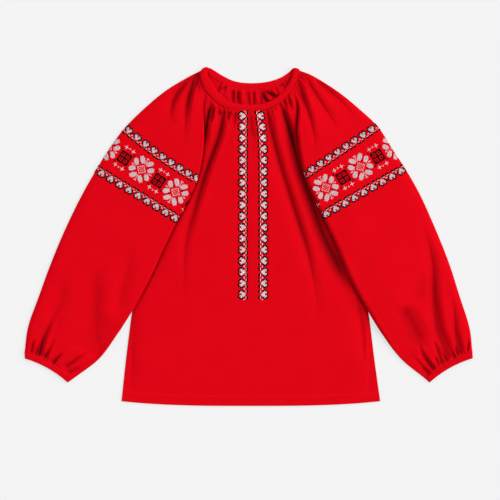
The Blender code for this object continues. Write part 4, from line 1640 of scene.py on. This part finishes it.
class StitchBench:
    """Makes stitches as small closed meshes on a surface of cloth."""

    def __init__(self, seed: int) -> None:
        """Starts with its own run of small irregularities."""
        self.random = np.random.default_rng(seed)

    @staticmethod
    def bar(start: tuple[float, float], end: tuple[float, float],
            crown: float) -> tuple[np.ndarray, np.ndarray]:
        """Makes one bar of a stitch as a low prism.

        Args:
            start: the bar's start in its cell, whose sides are 1.
            end: the bar's end.
            crown: its height in the middle.

        Returns:
            Its points, with heights in millimetres, and its triangles.
        """
        start_point, end_point = np.array(start), np.array(end)
        along = (end_point - start_point) / np.linalg.norm(end_point - start_point)
        side = np.array([-along[1], along[0]])
        points = []
        ends = (BAR_END_HALF_WIDTH, BAR_SUNK)
        for share, (half_width, top) in ((0.0, ends), (0.5, (BAR_HALF_WIDTH, crown)), (1.0, ends)):
            middle, edge = lerp(start_point, end_point, share), side * half_width
            points += [(*(middle - edge), -BAR_SUNK), (*middle, top), (*(middle + edge), -BAR_SUNK)]
        faces = [(0, 1, 2), (6, 8, 7)]
        for k in (0, 3):
            for a, b in ((0, 1), (1, 2), (2, 0)):
                faces += [(k + a, k + 3 + b, k + b), (k + a, k + 3 + a, k + 3 + b)]
        return np.array(points), np.array(faces)

    def make(self, name: str, places: np.ndarray, along: np.ndarray, across: np.ndarray, normals: np.ndarray,
             shape: tuple[np.ndarray, np.ndarray], jitter: float) -> bpy.types.Object:
        """Copies one stitch's shape to many places.

        Args:
            name: the object's name.
            places: each stitch's middle.
            along: each stitch's first side.
            across: each stitch's second side.
            normals: the cloth's direction outwards at each.
            shape: the stitch's points in its cell, and its triangles.
            jitter: how uneven the stitches are.

        Returns:
            One object that holds them all.
        """
        points, faces = shape
        count = len(places)
        shift = self.random.normal(0, jitter, (count, 2))
        size = 1 + self.random.normal(0, jitter, (count, 1, 1))
        local = points[None, :, :2] * size + shift[:, None, :]
        made = places[:, None] + local[..., :1] * along[:, None] + local[..., 1:] * across[:, None]
        made = made + normals[:, None] * points[None, :, 2:]
        index = faces[None] + (np.arange(count) * len(points))[:, None, None]
        return mesh_object(name, made.reshape(-1, 3), index.reshape(-1, 3))


@dataclass(frozen=True)
class Floss:
    """How one thread's stitches fill their cells, and how far they stand over the others."""

    fullness: float
    raised: float = 0.0


FLOSS = {
    Thread.WHITE: Floss(0.91),
    Thread.ROSE: Floss(0.88),
    Thread.BLACK: Floss(1.52, raised=0.35),
    Thread.FINE_BLACK: Floss(1.05),
}


@dataclass
class Embroidery:
    """The cross stitch on one piece of cloth."""

    name: str
    stitches: list[Stitch]
    cloth: ClothGrid
    fold_line: np.ndarray | None = None
    seed: int = 3
    jitter: float = 0.03
    free_height: float = 1.0  # how far over the table the stitches under a sleeve are no longer pressed
    objects: dict[Thread, bpy.types.Object] = field(default_factory=dict)

    def over_the_fold(self, x: float, y: float) -> tuple[Vector, Vector] | None:
        """Gives the place on the cloth of a point that lies past the outer fold in plan.

        Args:
            x: across the blouse.
            y: along the blouse.

        Returns:
            The place and the direction outwards there, or None off the cloth.
        """
        line = self.fold_line
        run = np.diff(line, axis=0)
        share = np.clip(((np.array([x, y]) - line[:-1]) * run).sum(axis=1) / (run**2).sum(axis=1), 0, 1)
        foot = line[:-1] + run * share[:, None]
        gap = np.hypot(foot[:, 0] - x, foot[:, 1] - y)
        k = int(np.argmin(gap))
        outward = np.array([-run[k, 1], run[k, 0]]) / np.linalg.norm(run[k])
        outside = float(np.dot(np.array([x, y]) - foot[k], outward))
        inside_sign = np.sign(np.dot(np.array([0.0, foot[k, 1]]) - foot[k], outward))
        past = -outside * inside_sign
        if past < -FOLD_RADIUS:
            return None
        turned = (past + FOLD_RADIUS) / FOLD_RADIUS
        outward = -outward * inside_sign
        if turned < math.pi:
            spot = foot[k] + outward * FOLD_RADIUS * (math.sin(turned) - 1)
            guess = Vector((*spot, TABLE_CLEARANCE + FOLD_RADIUS * (1 + math.cos(turned))))
        else:
            spot = foot[k] - outward * (FOLD_RADIUS + FOLD_RADIUS * (turned - math.pi))
            guess = Vector((*spot, TABLE_CLEARANCE))
            hit, normal, _, _ = self.tree.ray_cast(Vector((*spot, -50.0)), Vector((0, 0, 1)))
            return (hit, normal) if hit is not None and hit.z < TABLE_CLEARANCE + 0.2 else None
        found, normal, _, _ = self.tree.find_nearest(guess)
        return found, normal

    def place(self, stitch: Stitch) -> tuple[Vector, Vector] | None:
        """Gives a stitch's place on the cloth and the direction outwards there.

        Args:
            stitch: the stitch, in plan.

        Returns:
            The place and the direction, or None off the cloth.
        """
        if self.fold_line is not None:
            found = self.over_the_fold(*stitch.middle)
            if found is not None:
                return found
        hit, normal, _, _ = self.tree.ray_cast(Vector((*stitch.middle, 50.0)), Vector((0, 0, -1)))
        if hit is None or (self.fold_line is not None and hit.z < TABLE_CLEARANCE + 0.3):
            return None
        return hit, normal

    def build(self) -> None:
        """Makes the stitches, one object for each thread."""
        self.tree = self.cloth.tree()
        bench = StitchBench(self.seed)
        first = bench.bar((-0.47, -0.47), (0.47, 0.47), 0.36)
        second = bench.bar((-0.47, 0.47), (0.47, -0.47), 0.52)
        shape = (np.vstack([first[0], second[0]]), np.vstack([first[1], second[1] + len(first[0])]))
        for thread in Thread:
            kept = []
            for stitch in self.stitches:
                found = self.place(stitch) if stitch.thread is thread else None
                if found is None:
                    continue
                place, normal = found
                along = Vector((*stitch.along, 0.0))
                along = (along - normal * along.dot(normal)).normalized() * math.hypot(*stitch.along)
                across = normal.cross(along).normalized() * math.hypot(*stitch.across)
                pressed = 1.0 if normal.z > 0 else min(1.0, place.z / self.free_height)
                raised = normal * FLOSS[thread].raised * pressed
                kept.append((place + raised, along, across, normal * pressed))
            if not kept:
                continue
            arrays = [np.array([tuple(row[k]) for row in kept]) for k in range(4)]
            arrays[1], arrays[2] = (side * FLOSS[thread].fullness for side in arrays[1:3])
            name = f"{self.name}_{thread.name.lower()}_stitches"
            self.objects[thread] = bench.make(name, *arrays, shape, self.jitter)

    def dress(self, finishes: dict[Thread, bpy.types.Material]) -> None:
        """Gives each thread's stitches their finish."""
        for thread, obj in self.objects.items():
            dress(obj, finishes[thread])


@dataclass
class Topstitching:
    """A line of machine stitches along a seam."""

    name: str
    line: np.ndarray
    cloth: ClothGrid
    pitch: float = 2.5
    length_share: float = 0.8
    half_width: float = 0.26
    crown: float = 0.3
    jitter: float = 0.02
    seed: int = 5
    obj: bpy.types.Object = field(init=False)

    def build(self) -> None:
        """Makes the stitches along the line."""
        tree = self.cloth.tree()
        run = np.concatenate([[0], np.cumsum(np.linalg.norm(np.diff(self.line, axis=0), axis=1))])
        count = int(run[-1] / self.pitch)
        at = (np.arange(count) + 0.5) * run[-1] / count
        step = 0.3
        places, alongs, acrosses, normals = [], [], [], []
        for distance in at:
            behind, middle, ahead = (
                np.array([np.interp(distance + shift, run, self.line[:, k]) for k in (0, 1)])
                for shift in (-step, 0.0, step)
            )
            hit, normal, _, _ = tree.ray_cast(Vector((*middle, 50.0)), Vector((0, 0, -1)))
            if hit is None:
                continue
            along = Vector((*(ahead - behind), 0.0)).normalized()
            along = (along - normal * along.dot(normal)).normalized()
            places.append(tuple(hit))
            alongs.append(tuple(along * self.pitch * self.length_share))
            acrosses.append(tuple(normal.cross(along).normalized()))
            normals.append(tuple(normal))
        bench = StitchBench(self.seed)
        points, faces = bench.bar((-0.5, 0.0), (0.5, 0.0), self.crown)
        points[:, 1] *= self.half_width / BAR_HALF_WIDTH
        arrays = [np.array(part) for part in (places, alongs, acrosses, normals)]
        self.obj = bench.make(f"{self.name}_topstitch", *arrays, (points, faces), self.jitter)

    def dress(self, finish: bpy.types.Material) -> None:
        """Gives the stitches their finish."""
        dress(self.obj, finish)


# ---- The studio --------------------------------------------------


@dataclass
class Studio:
    """A pale table under soft light, and a camera that looks straight down."""

    view_centre: tuple[float, float] = (2.4, -20.8)
    view_width: float = 800.0
    lens: float = 85.0
    sensor: float = 36.0
    table_size: float = 9.0
    #    name, strength, spread in degrees, direction it comes from
    lamps: tuple[tuple[str, float, float, tuple[float, float, float]], ...] = (
        ("key", 5.2, 60.0, (0.715, 0.150, 0.68)),
        ("fill", 1.72, 60.0, (-0.58, 0.42, 0.70)),
    )
    sky: float = 0.16

    def build(self) -> None:
        """Makes the table, the lights and the camera."""
        bpy.ops.mesh.primitive_plane_add(size=self.table_size, location=(0, 0, 0))
        table = bpy.context.object
        table.name = "table"
        table.data.materials.append(TableFinish().material())
        scene = bpy.context.scene
        world = bpy.data.worlds.new("studio")
        world.use_nodes = True
        world.node_tree.nodes["Background"].inputs["Color"].default_value = (1.0, 1.0, 1.0, 1.0)
        world.node_tree.nodes["Background"].inputs["Strength"].default_value = self.sky
        scene.world = world
        for name, strength, spread, comes_from in self.lamps:
            light = bpy.data.lights.new(name, "SUN")
            light.energy, light.angle = strength, math.radians(spread)
            lamp = bpy.data.objects.new(name, light)
            lamp.rotation_mode = "QUATERNION"
            lamp.rotation_quaternion = Vector(comes_from).to_track_quat("Z", "Y")
            lamp.location = Vector(comes_from)
            scene.collection.objects.link(lamp)
        camera = bpy.data.cameras.new("camera")
        camera.lens, camera.sensor_width = self.lens, self.sensor
        viewer = bpy.data.objects.new("camera", camera)
        height = self.view_width * MM * self.lens / self.sensor
        viewer.location = (self.view_centre[0] * MM, self.view_centre[1] * MM, height)
        scene.collection.objects.link(viewer)
        scene.camera = viewer
        scene.view_settings.view_transform = "Standard"


# ---- The blouse --------------------------------------------------


def pleat(route: tuple[tuple[float, float], ...], width: float, depth: float, fade_in: float = 0.6,
          closed: float = 0.6) -> Fold:
    """Makes a sharp fold that grows out of open cloth and runs into a casing's seam."""
    return Fold(route, width, depth, fade_in=fade_in, fade_out=0.1, closed=closed)


LEFT_FOLDS = (
    Fold(((-83, 259), (-92, 227), (-97, 203), (-100, 179), (-103, 139)), 3.2, 9.0, fade_out=0.8,
         closed=0.85),
    Fold(((-94, 250), (-110, 232), (-119, 214), (-123, 195), (-118, 176)), 3.2, 6.6, fade_out=0.7,
         closed=0.65),
    Fold(((-78, 256), (-86, 235)), 2.0, 4.6),
    Fold(((-242, -29), (-243, -69), (-243, -101), (-243, -157), (-244, -179), (-249, -194)), 9.0, 4.4,
         fade_in=0.35, fade_out=0.2, sharpness=0.9, closed=0.06),
    Fold(((-290, -45), (-298, -101), (-312, -125), (-318, -141)), 6.0, 2.2, fade_in=0.3, sharpness=0.7,
         closed=0.05),
    pleat(((-304, -108), (-317, -141), (-327, -166), (-331, -181), (-333, -192)), 2.8, 8.4, closed=1.0),
    Fold(((-180, -10), (-194, -61), (-204, -101), (-210, -130)), 7.0, 3.4, fade_in=0.3, sharpness=0.7,
         closed=0.05),
    pleat(((-302, -152), (-313, -171), (-321, -187), (-324, -194)), 1.8, 5.2, fade_in=0.8, closed=0.5),
    pleat(((-339, -160), (-344, -172), (-347, -188)), 1.6, 4.6),
    pleat(((-292, -182), (-303, -192), (-315, -202)), 1.6, 5.0),
    pleat(((-246, -177), (-262, -187), (-279, -199), (-294, -210)), 1.7, 5.2, fade_in=0.8),
    Fold(((-262, -204), (-278, -213), (-290, -219)), 1.5, 3.6, fade_in=0.5, fade_out=0.2),
    pleat(((-318, -183), (-326, -193)), 1.3, 3.6, fade_in=0.12),
    pleat(((-306, -197), (-312, -204)), 1.3, 3.6, fade_in=0.12),
    pleat(((-336, -176), (-339, -190)), 1.3, 3.6, fade_in=0.12),
)

RIGHT_FOLDS = (
    Fold(((82, 243), (89, 222), (100, 187), (106, 155), (108, 139)), 3.6, 8.0, fade_out=0.85,
         closed=0.5),
    Fold(((95, 251), (114, 219), (134, 187), (143, 171)), 4.0, 5.0, fade_out=0.8, closed=0.25),
    Fold(((111, 248), (133, 231), (154, 211), (182, 174)), 5.0, 5.0, fade_out=0.7, closed=0.2),
    Fold(((246, -104), (254, -126), (268, -152), (280, -182)), 7.6, 6.0, fade_in=0.3, fade_out=0.3,
         sharpness=0.8, closed=0.25),
    Fold(((270, -164), (278, -184), (288, -200), (298, -212)), 2.2, 7.0, fade_in=0.7, fade_out=0.05,
         closed=0.8),
    Fold(((275, 43), (287, -5), (296, -45), (299, -101), (306, -149), (314, -167), (321, -185), (325,
         -193)), 4.6, 8.4, fade_in=0.5, fade_out=0.05, sharpness=0.3, closed=0.5),
    Fold(((322, -72), (328, -110), (332, -149), (336, -168), (341, -187)), 3.4, 7.0, fade_in=0.8,
         fade_out=0.05, closed=0.45),
    pleat(((295, -160), (304, -182), (311, -204)), 1.8, 6.0, closed=0.7),
    Fold(((350, -160), (352, -172), (350, -184)), 1.5, 4.6, fade_in=0.6, fade_out=0.2, closed=0.6),
    pleat(((298, -190), (305, -204)), 1.4, 4.4, fade_in=0.4),
    pleat(((313, -184), (318, -199)), 1.4, 4.4, fade_in=0.4),
    pleat(((324, -180), (331, -194)), 1.4, 4.4, fade_in=0.4),
    pleat(((332, -172), (336, -189)), 1.4, 5.0, fade_in=0.4, closed=0.7),
    pleat(((252, -178), (268, -196), (282, -210), (292, -219)), 2.2, 3.0, fade_in=0.8, closed=0.3),
    pleat(((275, -206), (284, -213), (290, -221)), 1.4, 3.8, fade_in=0.4, closed=0.5),
    Fold(((278, -45), (277, -85), (260, -115)), 7.0, 2.4, fade_in=0.4, sharpness=0.8, closed=0.1),
)


def front_stitches() -> list[Stitch]:
    """Charts the two bands of hearts down the front."""
    pitch, rise, hearts = 1.482, 1.66, 17
    left_x, right_x, first_y, drawn_in = -8.7, 23.8, 193.0, -5.8
    left = BandFrame((left_x, first_y), -90.0, pitch, rise)
    right = BandFrame((right_x, first_y), -90.0, pitch, rise, drawn_in=drawn_in)
    return heart_border(left, range(hearts), -1) + heart_border(right, range(hearts), 1)


@dataclass(frozen=True)
class ArmBand:
    """The wide band round one upper arm: two heart borders with flowers and windows between them."""

    flower: tuple[float, float]
    degrees: float
    flower_pitch: float
    upper: tuple[float, float]
    upper_degrees: float
    upper_pitch: float
    lower: tuple[float, float]
    lower_degrees: float
    lower_pitch: float
    outward: int
    upper_sag: float = 0.0
    sag_hearts: float = 8.3  # how many hearts the sag is spread over
    stitch: float = 1.49
    border_rise: float = 1.6
    flowers: int = 6
    hearts: int = 20

    def stitches(self) -> list[Stitch]:
        """Charts the band, from the inner fold out over the outer one."""
        made: list[Stitch] = []
        row = BandFrame(self.flower, self.degrees, self.stitch, self.stitch)
        gap = self.flower_pitch / self.stitch
        for k in range(-1, self.flowers):
            made += Flower().stitches(row, self.outward * gap * k)
            made += window(row, self.outward * gap * (k + 0.5))
        count = len(HEART_CHART[0])
        hearts = [self.outward * k for k in range(-1, self.hearts)]
        upper = BandFrame(self.upper, self.upper_degrees, self.upper_pitch / count, self.border_rise,
                          sag=self.upper_sag, sag_over=self.outward * self.sag_hearts * count)
        lower = BandFrame(self.lower, self.lower_degrees, self.lower_pitch / count, self.border_rise)
        return made + heart_border(upper, hearts, 1) + heart_border(lower, hearts, -1)


LEFT_BAND = ArmBand(
    flower=(-116.1, 71.4), degrees=-33.6, flower_pitch=65.4,
    upper=(-83.0, 92.7), upper_degrees=-35.2, upper_pitch=16.6,
    lower=(-116.8, 31.2), lower_degrees=-31.3, lower_pitch=17.1, outward=-1,
    upper_sag=4.0,
)
RIGHT_BAND = ArmBand(
    flower=(122.9, 78.0), degrees=31.2, flower_pitch=64.7,
    upper=(87.3, 97.3), upper_degrees=33.9, upper_pitch=16.45,
    lower=(122.9, 37.1), lower_degrees=29.9, lower_pitch=17.3, outward=1,
)


def report(piece: bpy.types.Object) -> None:
    """Reports one piece's size."""
    LOG.info("%s: %d faces", piece.name, len(piece.data.polygons))


def main() -> None:
    """Builds the blouse and its studio."""
    knit = KnitFinish("red_jersey").material()
    band_knit = KnitFinish("red_binding_jersey", wale=0.9, course=0.9).material()
    sewing = ThreadFinish("red_sewing_thread", (0.30, 0.001, 0.004), (0.20, 0.001, 0.002)).material()
    threads = {
        Thread.WHITE: ThreadFinish("white_floss", (0.52, 0.575, 0.605), (0.385, 0.41, 0.445)).material(),
        Thread.ROSE: ThreadFinish("rose_floss", (0.53, 0.43, 0.465), (0.405, 0.29, 0.32)).material(),
        Thread.BLACK: ThreadFinish("black_floss", (0.006, 0.002, 0.002), (0.002, 0.001, 0.001),
                                   lustre=0.02, nap=0.0).material(),
    }
    threads[Thread.FINE_BLACK] = threads[Thread.BLACK]
    bright = ThreadFinish("bright_white_floss", (0.66, 0.68, 0.70), (0.52, 0.52, 0.55)).material()
    front, back = FrontPanel(), BackPanel()
    left = Sleeve(LEFT_PLAN, LEFT_FOLDS, Gathers(9, 3.4, 15, 1.1), Gathers(15, 3.0, 9, 0.3), turn=1.2,
                  cut=Cut(0.320, 0.554, 0.146), roll=3.8, loft=2.2)
    right = Sleeve(RIGHT_PLAN, RIGHT_FOLDS, Gathers(9, 3.4, 15, 2.6), Gathers(15, 3.0, 9, 1.9), turn=2.7,
                   cut=Cut(0.320, 0.553, 0.145), roll=6.3, loft=2.4)
    binding = NeckBinding()
    casings = [WristCasing(LEFT_PLAN), WristCasing(RIGHT_PLAN)]
    for piece in (back, front, left, right, binding, *casings):
        piece.build()
        report(piece.obj)
    works = {"front": Embroidery("front", front_stitches(), front.grid, seed=11)}
    for sleeve, band in ((left, LEFT_BAND), (right, RIGHT_BAND)):
        fold = sleeve.plan.outline(np.linspace(*BAND_STATIONS, 90))
        name = f"arm_band_{sleeve.name}"
        works[sleeve.name] = Embroidery(name, band.stitches(), sleeve.grid, fold, seed=17)
    for work in works.values():
        work.build()
        work.dress(threads if work.fold_line is not None else {**threads, Thread.WHITE: bright})
        for obj in work.objects.values():
            report(obj)
    front_hem = front.grid.points[-1, 4:-4, :2] + np.array([0.0, front.hem_depth - 1.0])
    hem = Topstitching("hem", front_hem, front.grid)
    neck = binding.topstitching("neck", 0.15, NECK.right_shoulder - 0.15, 300)
    neck_back = binding.topstitching("neck_back", NECK.right_shoulder + 0.4, len(NECK.sections) - 0.4, 200)
    for line in (hem, neck, neck_back):
        line.build()
        line.dress(sewing)
        report(line.obj)
    front.dress(knit, [*works["front"].objects.values(), hem.obj])
    back.dress(knit)
    left.dress(knit, works["left"].objects.values())
    right.dress(knit, works["right"].objects.values())
    binding.dress(band_knit, [neck.obj, neck_back.obj])
    for casing in casings:
        casing.dress(band_knit)
    Studio().build()
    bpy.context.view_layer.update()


if __name__ == "__main__":
    logging.basicConfig(level=logging.INFO, format="%(name)s: %(message)s", stream=sys.stdout)
    main()
